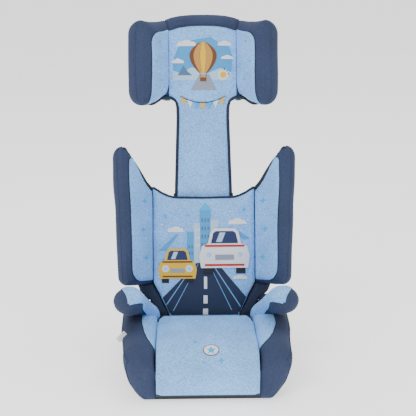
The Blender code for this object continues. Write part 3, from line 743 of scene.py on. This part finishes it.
def side_point(side, index, y, proud=0.0):
    """The bolster's outer skin at y, at index along its section."""
    (x, z), i = read_line(SIDE_LINE, index)
    along = SIDE_LINE[i + 1] - SIDE_LINE[i]
    normal = np.array([-along[1], along[0]]) / np.linalg.norm(along)
    narrow, drop, rear = side_shape(y)
    give = 0.0012 * ripple(x, y, z, 0.045, 1.1 + side)
    x, z = np.array([x, z]) + normal * (proud + give)
    high = max(0.0, (z - 0.010) / 0.108)
    taper = clamped((-0.020 - y) / 0.130)
    flank = clamped((x - 0.140) / 0.040)
    x += flank * taper * (0.0030 - 0.0125 * clamped((z - 0.040) / 0.050))
    x = 0.118 + (x - 0.118) * (1 - narrow) - 0.010 * rear ** 2
    z = z - 0.046 * drop * high - 0.008 * rear ** 2 * high
    return Vector((side * x, y, z))


def section_index(x):
    """Where along the bolster's section its top skin passes x."""
    for i in range(1, len(SIDE_LINE)):
        before, after = SIDE_LINE[i - 1][0], SIDE_LINE[i][0]
        if after >= x and after > before:
            return (i - 1 + (x - before) / (after - before)) / (len(SIDE_LINE) - 1)
    return 1.0


def add_side_covers():
    """The navy bolsters beside the cushion, each with its patch and welts."""
    nose = [BASE_FRONT + 0.052 * (1 - math.cos(math.pi / 2 * i / 14)) for i in range(15)]
    columns = 52
    for name, side in SIDES:
        front, back = [], []
        for y in nose + list(np.linspace(-0.146, 0.185, 40)):
            inset = 0.137 if y > 0.094 else 0.1175
            front_row, back_row = [], []
            for j in range(columns):
                p = side_point(side, j / (columns - 1), y)
                p.x = side * max(inset, abs(p.x))
                inner_x = max(inset, 0.1175 + (abs(p.x) - 0.1175) * 0.94)
                q = Vector((side * inner_x, max(y, -0.198), p.z - 0.0070))
                edge = rounded(min(j, columns - 1 - j) * 0.004, 0.009) * rounded(0.186 - y, 0.010)
                front_row.append(q + (p - q) * (0.3 + 0.7 * edge))
                back_row.append(q)
            front.append(front_row)
            back.append(back_row)
        cover = closed_sheet(f"bolster_cover_{name}", front, back, NAVY, "base")
        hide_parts(f"side_cover_{name}")
        add_side_patch(name, side)
        welt = [side_point(side, 0.50 + 0.46 * v, -0.190 + 0.006 * math.sin(math.pi * v), proud=0.0004)
                for v in np.linspace(0, 1, 40)]
        tube(f"bolster_welt_{name}", welt, 0.0011, NAVY, "base", sides=6)
        along = [side_point(side, 0.50, y, proud=0.0003) for y in np.linspace(-0.190, 0.178, 60)]
        tube(f"shoulder_welt_{name}", along, 0.0010, NAVY, "base", sides=6)


PATCH_FRONT, PATCH_LENGTH = -0.1395, 0.2275
# How far the light patch reaches across the bolster, as (y, x) pairs. The two sides aren't quite alike.
PATCH_EDGE = {
    "left": lookup([(-0.140, 0.1190), (-0.128, 0.1280), (-0.105, 0.1375), (-0.070, 0.1450), (-0.020, 0.1510),
                    (0.088, 0.1530)]),
    "right": lookup([(-0.140, 0.1190), (-0.130, 0.1310), (-0.114, 0.1440), (-0.090, 0.1550), (-0.040, 0.1640),
                     (0.088, 0.1600)]),
}


def add_side_patch(name, side):
    """The light patch on the bolster's top beside the cushion."""
    reach = PATCH_EDGE[name]

    def edge_at(v):
        y = PATCH_FRONT + PATCH_LENGTH * v
        return section_index(reach(y)), y

    def pair(v, u):
        last, y = edge_at(v)
        puff = rounded(min(min(v, 1 - v) * 0.228, (1 - u) * 0.03), 0.006)
        index = 0.012 + (last - 0.012) * u
        proud = 0.0004 + 0.0016 * puff
        return side_point(side, index, y, proud=proud), side_point(side, index, y, proud=-0.0035)

    patch = sheet_of(f"side_patch_{name}", spaced(44, 0.6), spaced(16, 0.7), pair, LIGHT, "base")
    edge_line = [side_point(side, *edge_at(v), proud=0.0006) for v in spaced(44, 0.6)]
    # The piping is in the darker copy of the navy knit: painted shade along the patch's edge.
    tube(f"side_patch_piping_{name}", resampled(edge_line, 70), 0.0009, SHADED_NAVY, "base", sides=6)


ARMREST_PATH = [
    # x, y and z of the middle, then the half width and half height of the section.
    (0.1370, 0.0900, 0.0830, 0.0245, 0.0205),
    (0.1385, 0.0780, 0.1000, 0.0255, 0.0205),
    (0.1510, 0.0520, 0.1220, 0.0240, 0.0225),
    (0.1640, 0.0220, 0.1450, 0.0265, 0.0260),
    (0.1745, -0.0120, 0.1640, 0.0305, 0.0325),
    (0.1805, -0.0420, 0.1775, 0.0335, 0.0315),
    (0.1800, -0.0740, 0.1795, 0.0340, 0.0310),
]
KNOB_NOSE = 0.030


class Armrest:
    """A padded horn that rises from the base's rear and ends in a round knob, KNOB_NOSE deep.

    It is read at u, from 0 at its root to 1 at its tip, and at an angle from its outer side over its top.
    """

    def __init__(self, side):
        self.side = side
        self.path = resampled(spline(ARMREST_PATH, 12), 120)
        steps = np.linalg.norm(np.diff(self.path[:, :3], axis=0), axis=1)
        self.length = float(steps.sum())

    def point(self, u, angle, proud=0.0):
        (x, y, z, wide, tall), i = read_line(self.path, u)
        a, b = self.path[max(0, i - 3)], self.path[min(len(self.path) - 1, i + 4)]
        along = Vector((b - a)[:3]).normalized()
        across = (Vector((1, 0, 0)) - along * along.x).normalized()
        up = along.cross(across)
        nose = rounded((1 - u) * self.length, KNOB_NOSE)
        c, s = math.cos(angle), math.sin(angle)
        give = 0.0010 * ripple(angle * 0.02, y, z, 0.03, 0.5 + self.side)
        p = Vector((x, y, z)) + (across * c * (wide + give + proud) + up * s * (tall + give + proud)) * nose
        p += along * proud * (1 - nose)
        return Vector((self.side * p.x, p.y, p.z))

    def nose_shares(self, count):
        """Values of u over the nose, closer together towards the tip."""
        nose = KNOB_NOSE / self.length
        return [1 - nose * (1 - math.sin(math.pi / 2 * i / count)) for i in range(count + 1)]


def add_armrest_cover(name, arm):
    us = list(np.linspace(0, 1 - KNOB_NOSE / arm.length, 34)) + arm.nose_shares(9)[1:]
    sides = 44
    vertices = [arm.point(u, 2 * math.pi * k / sides) for u in us for k in range(sides)]
    faces = grid_faces(len(us), sides, close_columns=True) + [tuple(range(sides))]
    cover = finish_mesh(f"armrest_cover_{name}", vertices, faces, NAVY, "base", weld=2e-5)
    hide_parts(f"armrest_pad_{name}")


def add_armrest_panel(name, side, arm):
    """The light panel from the armrest's root over its inner side to the tip, and the piping round it."""
    nose = KNOB_NOSE / arm.length
    to_tip = [u for u in arm.nose_shares(12) if (1 - u) * arm.length > 0.0002]
    along = [0.02 + (1 - nose - 0.02) * i / 34 for i in range(34)] + to_tip

    def angles(u):
        """The angles of the panel's upper and lower edges."""
        near_end = max(0.0, 1 - (1 - u) * arm.length / 0.070) ** 2
        top = math.radians(52 + 34 * near_end - (6 if side > 0 else 0))
        return top, math.radians(262 - 60 * min(1.0, u * 1.3) - 30 * near_end)

    def pair(u, w):
        top, low = angles(u)
        puff = rounded(min(min(w, 1 - w) * 0.09, (u - 0.018) * 0.2), 0.006)
        angle = top + (low - top) * w
        return arm.point(u, angle, proud=0.0004 + 0.0016 * puff), arm.point(u, angle, proud=-0.0035)

    panel = sheet_of(f"armrest_panel_{name}", along, spaced(24, 0.8), pair, LIGHT, "base")
    upper, lower = ([arm.point(u, angles(u)[k], proud=0.0006) for u in along] for k in (0, 1))
    top, low = angles(along[-1])
    across = [arm.point(along[-1], angle, proud=0.0006) for angle in np.linspace(top, low, 14)[1:-1]]
    seam = resampled(upper + across + lower[::-1], 150)
    # The piping is in the darker copy of the navy knit: painted shade along the seam.
    tube(f"armrest_piping_{name}", seam, 0.0010, SHADED_NAVY, "base", sides=6)


def add_armrests():
    for name, side in SIDES:
        arm = Armrest(side)
        add_armrest_cover(name, arm)
        add_armrest_panel(name, side, arm)


def add_label():
    """A small folded tape label, sewn into the left bolster's outer seam and without any print."""
    root = Vector((-0.1860, -0.0800, 0.1150))
    out = Vector((-0.70, -0.10, -0.71)).normalized()
    normal = Vector((0.0, -0.94, 0.34))
    wide = out.cross(normal).normalized()
    normal = wide.cross(out).normalized()
    if normal.y > 0:
        normal = -normal
    front, back = [], []
    for i in range(14):
        v = i / 13
        thick = 0.0005 + 0.0007 * math.sin(math.pi * v) ** 2
        sag = normal * (0.0020 * math.sin(3 * v))
        row = [root + out * (0.026 * v) + sag + wide * (0.0062 * (2 * j / 7 - 1)) for j in range(8)]
        front.append([p + normal * thick for p in row])
        back.append([p - normal * thick for p in row])
    label = closed_sheet("label_tape", front, back, LABEL, "base")
    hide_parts("care_label")


# ---------------------------------------------------------------- studio

FLOOR_REACH = 40
# The lamps: name, place, size and power.
LAMPS = (
    ("key", (-1.6, -2.1, 2.4), 1.4, 48),
    ("fill", (2.2, -1.9, 1.5), 2.0, 10),
    ("top", (0.2, 0.6, 2.8), 1.8, 40),
)
LAMP_TARGET = Vector((0, 0.10, 0.35))
CAMERA_AIM = Vector((0.0105, 0.20, 0.329))
CAMERA_DISTANCE = 3.0
CAMERA_ELEVATION = math.radians(16.5)
CAMERA_AZIMUTH = math.radians(-1.5)


def add_floor():
    """A plain pale floor that glows a little, so it stays pale in the lamps' shadows."""
    look = Look("pale_floor", (0.86, 0.86, 0.87), 0.7)
    grain = look.noise((3, 3, 3), 2.0)
    look.paint(look.ramp(grain, [(0.3, (0.90, 0.90, 0.905)), (0.7, (0.92, 0.92, 0.922))]))
    look.shader.inputs["Emission Color"].default_value = (1.0, 1.0, 1.0, 1)
    look.shader.inputs["Emission Strength"].default_value = 1.0
    corners = [(x * FLOOR_REACH, y * FLOOR_REACH, 0) for x, y in ((-1, -1), (1, -1), (1, 1), (-1, 1))]
    mesh = bpy.data.meshes.new("studio_floor")
    mesh.from_pydata(corners, [], [(0, 1, 2, 3)])
    floor = bpy.data.objects.new("studio_floor", mesh)
    bpy.context.scene.collection.objects.link(floor)
    mesh.materials.append(look.material)


def add_lights():
    world = bpy.data.worlds.new("studio")
    world.use_nodes = True
    world.node_tree.nodes["Background"].inputs["Color"].default_value = (1.0, 1.0, 1.0, 1)
    world.node_tree.nodes["Background"].inputs["Strength"].default_value = 0.74
    bpy.context.scene.world = world
    for name, place, size, power in LAMPS:
        light = bpy.data.lights.new(name, "AREA")
        light.size = size
        light.energy = power
        lamp = bpy.data.objects.new(name, light)
        lamp.location = place
        lamp.rotation_euler = (LAMP_TARGET - Vector(place)).to_track_quat("-Z", "Y").to_euler()
        bpy.context.scene.collection.objects.link(lamp)


def add_camera():
    camera = bpy.data.cameras.new("camera")
    camera.lens = 105.1
    camera.sensor_width = 36
    obj = bpy.data.objects.new("camera", camera)
    level = math.cos(CAMERA_ELEVATION)
    away = Vector((math.sin(CAMERA_AZIMUTH) * level, -math.cos(CAMERA_AZIMUTH) * level,
                   math.sin(CAMERA_ELEVATION)))
    obj.location = CAMERA_AIM + away * CAMERA_DISTANCE
    obj.rotation_euler = (-away).to_track_quat("-Z", "Y").to_euler()
    bpy.context.scene.collection.objects.link(obj)
    bpy.context.scene.camera = obj


# ---------------------------------------------------------------- cloth

CLOTH_VOXEL = 0.005
CLOTH_PRESSURE = 4.0
CLOTH_FRAMES = 20


def swell(obj, outward, limit):
    """Blows a cover up as cloth from within, by limit at most. Only points that face outward move."""
    work = bpy.data.objects.new("work", obj.data.copy())
    bpy.context.scene.collection.objects.link(work)
    remesh = work.modifiers.new("remesh", "REMESH")
    remesh.mode = "VOXEL"
    remesh.voxel_size = CLOTH_VOXEL
    depsgraph = bpy.context.evaluated_depsgraph_get()
    work.data = bpy.data.meshes.new_from_object(work.evaluated_get(depsgraph))
    work.modifiers.clear()
    outward = Vector(outward).normalized()
    start = [v.co.copy() for v in work.data.vertices]
    free = [v.normal.dot(outward) > 0.25 for v in work.data.vertices]
    held = work.vertex_groups.new(name="held")
    held.add([i for i, loose in enumerate(free) if not loose], 1.0, "REPLACE")
    cloth = work.modifiers.new("cloth", "CLOTH")
    cloth.settings.use_pressure = True
    cloth.settings.uniform_pressure_force = CLOTH_PRESSURE
    cloth.settings.vertex_group_mass = "held"
    cloth.settings.effector_weights.gravity = 0
    cloth.settings.quality = 5
    cloth.collision_settings.use_collision = False
    scene = bpy.context.scene
    for number in range(1, CLOTH_FRAMES + 1):
        scene.frame_set(number)
    depsgraph = bpy.context.evaluated_depsgraph_get()
    blown = [v.co.copy() for v in work.evaluated_get(depsgraph).data.vertices]
    scene.frame_set(1)
    work.modifiers.clear()
    work.vertex_groups.clear()
    for vertex, old, new, loose in zip(work.data.vertices, start, blown, free):
        moved = new - old
        if moved.length > limit:
            moved = moved * (limit / moved.length)
        vertex.co = old + moved if loose else old
    smooth = work.modifiers.new("smooth", "LAPLACIANSMOOTH")
    smooth.lambda_factor = 0.4
    smooth.iterations = 2
    finer = work.modifiers.new("finer", "SUBSURF")
    finer.levels = 1
    depsgraph = bpy.context.evaluated_depsgraph_get()
    mesh = bpy.data.meshes.new_from_object(work.evaluated_get(depsgraph))
    mesh.name = obj.data.name
    mesh.materials.clear()
    mesh.materials.append(obj.data.materials[0])
    mesh.shade_smooth()
    obj.data = mesh
    bpy.data.objects.remove(work)


# ---------------------------------------------------------------- printed artwork

INK_COLOURS = {
    "white": (0.80, 0.81, 0.84),
    "cyan": (0.020, 0.42, 0.85),
    "sky": (0.055, 0.33, 0.66),
    "pale": (0.42, 0.62, 0.80),
    "road": (0.015, 0.027, 0.066),
    "line": (0.17, 0.40, 0.72),
    "yellow": (0.80, 0.48, 0.03),
    "tan": (0.55, 0.28, 0.06),
    "brown": (0.17, 0.055, 0.018),
    "red": (0.52, 0.025, 0.02),
    "navy": (0.020, 0.035, 0.11),
    "grey": (0.28, 0.31, 0.38),
    "dark": (0.010, 0.012, 0.020),
    "slate": (0.08, 0.16, 0.30),
}
INKS = {name: printed(f"ink_{name}", colour) for name, colour in INK_COLOURS.items()}


def ellipse(x, y, rx, ry, count=28):
    angles = [2 * math.pi * i / count for i in range(count)]
    return [(x + rx * math.cos(a), y + ry * math.sin(a)) for a in angles]


def star(x, y, outer, inner, tips=4):
    """A star with its first tip upwards."""
    outline = []
    for i in range(2 * tips):
        a = math.radians(90 + 180 * i / tips)
        r = inner if i % 2 else outer
        outline.append((x + r * math.cos(a), y + r * math.sin(a)))
    return outline


def cloud(x, y, width, height):
    """A flat-bottomed cloud of three humps."""
    humps = ((-0.27, 0.30, 0.24), (0.02, 0.52, 0.30), (0.30, 0.28, 0.21))
    outline = [(x - 0.5 * width, y + 0.06 * height), (x - 0.46 * width, y), (x + 0.46 * width, y),
               (x + 0.5 * width, y + 0.06 * height)]
    for i in range(1, 30):
        a = 0.5 - i / 30
        top = 0.06
        for at, rise, radius in humps:
            inside = 1 - ((a - at) / radius) ** 2
            if inside > 0:
                top = max(top, rise * 0.35 + 0.65 * (rise + 0.40) * math.sqrt(inside))
        outline.append((x + a * width, y + top * height))
    return outline


def block(x0, y0, x1, y1):
    return [(x0, y0), (x1, y0), (x1, y1), (x0, y1)]


def dot(x, y, radius):
    return ellipse(x, y, radius, radius, count=12)


class Print:
    """Artwork on one cover: flat outlines in the cover's own plane, laid onto it a hair above the cloth.

    place gives the start and the direction of the ray that carries a flat point onto the cover.
    """

    def __init__(self, cover, name, body, place, grain):
        mesh = cover.data
        mesh.calc_loop_triangles()
        triangles = [triangle.vertices for triangle in mesh.loop_triangles]
        self.tree = BVHTree.FromPolygons([v.co for v in mesh.vertices], triangles)
        self.name, self.body = name, body
        self.place = place
        self.grain = grain
        self.layer = 0
        self.parts = {}

    def add(self, ink, *outlines):
        """Prints outlines in one ink, over what is there already."""
        self.layer += 1
        for outline in outlines:
            self.cover(ink, outline)

    def cover(self, ink, outline):
        """Fills an outline with small triangles and lays them onto the cover."""
        outline = self.divided(outline)
        xs, ys = [p[0] for p in outline], [p[1] for p in outline]
        points = [Vector(p) for p in outline]
        steps_x = int((max(xs) - min(xs)) / self.grain)
        steps_y = int((max(ys) - min(ys)) / self.grain)
        for i in range(1, steps_x + 1):
            for j in range(1, steps_y + 1):
                x = min(xs) + (max(xs) - min(xs)) * i / (steps_x + 1)
                y = min(ys) + (max(ys) - min(ys)) * j / (steps_y + 1)
                points.append(Vector((x, y)))
        count = len(outline)
        edges = [(i, (i + 1) % count) for i in range(count)]
        flat, _, faces, _, _, _ = delaunay_2d_cdt(points, edges, [list(range(count))], 1, 1e-7)
        vertices, found = self.parts.setdefault(ink, ([], []))
        base = len(vertices)
        laid = [self.lay(p) for p in flat]
        vertices += [p or Vector((0, 0, 0)) for p in laid]
        found += [tuple(base + i for i in face) for face in faces if all(laid[i] for i in face)]

    def divided(self, outline):
        """The outline with points at most about a grain apart."""
        out = []
        for i, a in enumerate(outline):
            b = outline[(i + 1) % len(outline)]
            pieces = max(1, int(math.hypot(b[0] - a[0], b[1] - a[1]) / self.grain))
            for k in range(pieces):
                out.append((a[0] + (b[0] - a[0]) * k / pieces, a[1] + (b[1] - a[1]) * k / pieces))
        return out

    def lay(self, point):
        origin, direction = self.place(point.x, point.y)
        spot, _, _, _ = self.tree.ray_cast(origin, direction, 0.12)
        if spot is None:
            return None
        return spot - direction * (0.00040 + 0.00016 * self.layer)

    def finish(self):
        for ink, (vertices, faces) in self.parts.items():
            used = sorted({i for face in faces for i in face})
            index = {old: new for new, old in enumerate(used)}
            tidy = [tuple(index[i] for i in face) for face in faces]
            finish_mesh(f"{self.name}_print_{ink}", [vertices[i] for i in used], tidy, INKS[ink], self.body,
                        weld=0, recalc=False)


def facing_back(x, s):
    return on_back(x, 0.10, s), -FORWARD


def toy_car(art, x, s, scale, body, stripe):
    """A plain toy car seen from the front, a little above."""
    def at(points):
        return [(x + a * scale, s + b * scale) for a, b in points]

    art.add("dark", at(block(-0.44, -0.42, -0.24, -0.10)), at(block(0.24, -0.42, 0.44, -0.10)))
    art.add(body, at([(-0.50, -0.30), (0.50, -0.30), (0.54, -0.05), (0.48, 0.16), (0.36, 0.22), (-0.36, 0.22),
                      (-0.48, 0.16), (-0.54, -0.05)]))
    art.add(body, at([(-0.36, 0.18), (0.36, 0.18), (0.30, 0.46), (0.22, 0.54), (-0.22, 0.54),
                      (-0.30, 0.46)]))
    art.add("navy", at([(-0.29, 0.22), (0.29, 0.22), (0.24, 0.44), (0.18, 0.48), (-0.18, 0.48),
                        (-0.24, 0.44)]))
    art.add("pale", at([(-0.18, 0.25), (-0.06, 0.25), (0.02, 0.45), (-0.10, 0.45)]))
    art.add(stripe, at(block(-0.42, -0.26, 0.42, -0.215)), at(block(-0.42, 0.145, 0.42, 0.190)))
    art.add("grey", at(block(-0.20, -0.13, 0.20, -0.02)))
    art.add("white", at(ellipse(-0.33, -0.02, 0.10, 0.10)), at(ellipse(0.33, -0.02, 0.10, 0.10)))
    art.add("pale", at(ellipse(-0.33, -0.02, 0.055, 0.055)), at(ellipse(0.33, -0.02, 0.055, 0.055)))


def bulge(x, s, share):
    """A line of the balloon from its crown to its mouth. Share 0 is its middle and 1 its outline."""
    line = []
    for i in range(25):
        v = i / 24
        if v < 0.45:
            wide = 0.0335 * math.sin(math.pi / 2 * v / 0.45) ** 0.8
        else:
            wide = 0.0090 + 0.0245 * math.cos(math.pi / 2 * (v - 0.45) / 0.55) ** 0.9
        line.append((x + share * wide, s + 0.035 - 0.080 * v))
    return line


def gore(x, s, low, high):
    """One upright cloth panel of the balloon, between two of its lines."""
    return bulge(x, s, low)[::-1][:-1] + bulge(x, s, high)[1:]


def print_headrest(cover):
    """A balloon over hills, with clouds and a sun, and a string of pennants on the neck."""
    art = Print(cover, "headrest", "headrest", facing_back, 0.0045)
    art.add("sky", [(-0.074, 0.586), (-0.052, 0.574), (-0.020, 0.582), (0.030, 0.578), (0.070, 0.590),
                    (0.074, 0.628), (0.066, 0.652), (0.036, 0.664), (0.020, 0.676), (-0.030, 0.668),
                    (-0.062, 0.650), (-0.072, 0.620)])
    art.add("pale", [(-0.074, 0.570), (0.072, 0.570), (0.072, 0.588), (0.044, 0.600), (0.010, 0.586),
                     (-0.026, 0.602), (-0.056, 0.588), (-0.074, 0.594)])
    art.add("white", cloud(-0.040, 0.654, 0.048, 0.020), cloud(0.054, 0.655, 0.034, 0.016),
            cloud(-0.062, 0.612, 0.032, 0.015), cloud(0.060, 0.622, 0.030, 0.013))
    art.add("grey", [(-0.030, 0.546), (0.034, 0.546), (0.016, 0.584), (-0.008, 0.584)])
    art.add("slate", [(-0.062, 0.582), (-0.048, 0.606), (-0.036, 0.590), (-0.026, 0.582)],
            [(0.036, 0.582), (0.052, 0.602), (0.068, 0.582)])
    x, s = 0.001, 0.632
    art.add("brown", gore(x, s, -1.0, 1.0))
    art.add("tan", gore(x, s, -0.70, -0.24), gore(x, s, 0.24, 0.70))
    art.add("yellow", gore(x, s, -0.22, 0.22))
    art.add("brown", block(x - 0.0078, s - 0.0650, x + 0.0078, s - 0.0535))
    art.add("tan", block(x - 0.0090, s - 0.0555, x + 0.0090, s - 0.0525))
    art.add("dark", block(x - 0.0082, s - 0.0530, x - 0.0070, s - 0.0465),
            block(x + 0.0070, s - 0.0530, x + 0.0082, s - 0.0465))
    art.add("white", star(0.0500, 0.5830, 0.0165, 0.0105, 12))
    art.add("yellow", ellipse(0.0500, 0.5830, 0.0080, 0.0080))
    string = [(a, 0.517 + 5.0 * a * a) for a in np.linspace(-0.056, 0.056, 15)]
    art.add("navy", string + [(a, b - 0.0022) for a, b in string[::-1]])
    for i, ink in enumerate(("yellow", "white", "cyan", "yellow", "cyan", "white", "yellow")):
        near, far = string[2 * i], string[2 * i + 2]
        middle = ((near[0] + far[0]) / 2, (near[1] + far[1]) / 2 - 0.0200)
        art.add(ink, [(near[0] + 0.0012, near[1] - 0.0022), middle, (far[0] - 0.0012, far[1] - 0.0022)])
    art.finish()


def windows(width, height, lefts, bottoms):
    return [block(x, s, x + width, s + height) for x in lefts for s in bottoms]


def print_backrest(cover):
    """A road with two toy cars in front of a row of buildings."""
    art = Print(cover, "backrest", "backrest", facing_back, 0.004)
    art.add("road", [(-0.0845, -0.0125), (0.0845, -0.0125), (0.0890, 0.003), (0.1030, 0.0345),
                     (0.0300, 0.122), (-0.0120, 0.126), (-0.1030, 0.0345), (-0.0890, 0.003)])
    art.add("line", [(-0.0960, 0.016), (-0.0945, 0.0135), (-0.0220, 0.120), (-0.0235, 0.120)],
            [(-0.0780, 0.002), (-0.0760, 0.002), (-0.0140, 0.118), (-0.0150, 0.118)],
            [(0.0900, 0.012), (0.0880, 0.010), (0.0180, 0.118), (0.0195, 0.119)],
            [(0.0680, 0.003), (0.0660, 0.003), (0.0110, 0.118), (0.0120, 0.118)])
    art.add("white", block(-0.0040, -0.008, 0.0085, 0.007), block(-0.0025, 0.020, 0.0075, 0.040),
            block(-0.0010, 0.056, 0.0065, 0.086), block(0.0005, 0.098, 0.0055, 0.112))
    art.add("sky", [(-0.1120, 0.150), (-0.0700, 0.190), (-0.0620, 0.190), (-0.0950, 0.150)],
            [(0.1120, 0.180), (0.0720, 0.206), (0.0660, 0.204), (0.0980, 0.176)],
            [(-0.1130, 0.118), (-0.0620, 0.158), (-0.0560, 0.154), (-0.1040, 0.112)],
            [(0.1140, 0.130), (0.0700, 0.172), (0.0640, 0.168), (0.1060, 0.124)])
    art.add("white", cloud(-0.070, 0.196, 0.040, 0.018), cloud(0.082, 0.214, 0.046, 0.020),
            cloud(0.088, 0.080, 0.036, 0.014))
    art.add("pale", block(-0.0260, 0.120, -0.0080, 0.218), block(0.0140, 0.120, 0.0360, 0.226))
    art.add("sky", block(-0.0100, 0.120, 0.0160, 0.248), block(-0.0420, 0.120, -0.0250, 0.196),
            block(0.0350, 0.120, 0.0520, 0.182))
    tall = windows(0.0040, 0.009, (-0.0065, 0.001, 0.0085), (0.160, 0.180, 0.200, 0.220))
    outer = windows(0.0035, 0.007, (-0.0385, -0.0315, 0.0385, 0.0455), (0.140, 0.156))
    art.add("slate", *tall, *outer)
    art.add("cyan", [(-0.0130, 0.248), (0.0190, 0.248), (0.0030, 0.268)])
    art.add("white", *windows(0.0035, 0.006, (-0.0215, -0.0145, 0.0190, 0.0270), (0.160, 0.178, 0.198)))
    toy_car(art, -0.0660, 0.108, 0.088, "yellow", "brown")
    toy_car(art, 0.0500, 0.142, 0.116, "white", "red")
    art.add("cyan", star(-0.0960, 0.236, 0.0070, 0.0024), star(0.0980, 0.250, 0.0075, 0.0025),
            star(-0.0400, 0.238, 0.0055, 0.0020))
    art.add("white", dot(-0.1040, 0.214, 0.0022), dot(0.0640, 0.246, 0.0022), dot(0.1080, 0.224, 0.0020))
    art.finish()


# The sparkles on the wings: kind, body, size, and their places as x and s.
WING_SPARKLES = (
    ("wing", "backrest", 0.0085, ((0.144, 0.272), (0.148, 0.203), (0.142, 0.134))),
    ("ear", "headrest", 0.0046, ((0.104, 0.660), (0.112, 0.610), (0.101, 0.568))),
)


def print_wings():
    for name, side in SIDES:
        def facing_wing(x, s, side=side):
            return on_back(side * x, 0.16, s), -FORWARD

        for kind, body, size, spots in WING_SPARKLES:
            art = Print(PANELS[kind, name], f"{kind}_{name}", body, facing_wing, 0.003)
            art.add("cyan", *[star(x, s, size, 0.34 * size) for x, s in spots])
            art.add("white", *[ellipse(x - 0.006, s - 0.022, 0.0017, 0.0017, count=10) for x, s in spots])
            art.finish()


def print_seat(cover):
    """A star in a disc, with sparkles round it, on the seat's front crest."""
    down = Vector((0, 1, -1)).normalized()
    rearward = Vector((0, 1, 1)).normalized()

    def above(x, a):
        return Vector((x, -0.150, 0.098)) - down * 0.08 + rearward * a, down

    art = Print(cover, "seat", "base", above, 0.004)
    art.add("cyan", star(0.0200, 0.0560, 0.0095, 0.0032), star(-0.0270, 0.0230, 0.0085, 0.0029),
            star(0.0300, -0.0320, 0.0080, 0.0028))
    art.add("white", dot(0.0370, 0.0260, 0.0020), dot(-0.0130, -0.0300, 0.0020))
    art.add("navy", ellipse(0.0080, -0.0040, 0.0185, 0.0155))
    art.add("white", ellipse(0.0080, -0.0040, 0.0165, 0.0137))
    art.add("cyan", star(0.0080, -0.0045, 0.0115, 0.0052, 5))
    art.finish()


add_camera()
add_floor()
add_lights()
back_wings = add_wings("wing", "wing_pad", "backrest", back_wing, back_wing_edge, (0.035, 0.978), 0.0011,
                       0.93, 70)
add_wings("ear", "head_wing_pad", "headrest", ear, ear_edge, (0.004, 0.865), 0.0010, 0.90, 60)
back_cover = add_back_centre()
add_back_binding(back_wings)
add_lower_sides()
head_panel = add_head_middle()
seat_cover = add_seat_cushion()
add_side_covers()
add_armrests()
add_label()
swell(seat_cover, (0, -0.45, 0.89), 0.006)
swell(back_cover, FORWARD, 0.005)
print_headrest(head_panel)
print_backrest(back_cover)
print_seat(seat_cover)
print_wings()
for part in frame["record"]["subparts"]:
    if part["node"] in NODES:
        assign(part["node"], NODE_LOOKS[part["material_slot"]])
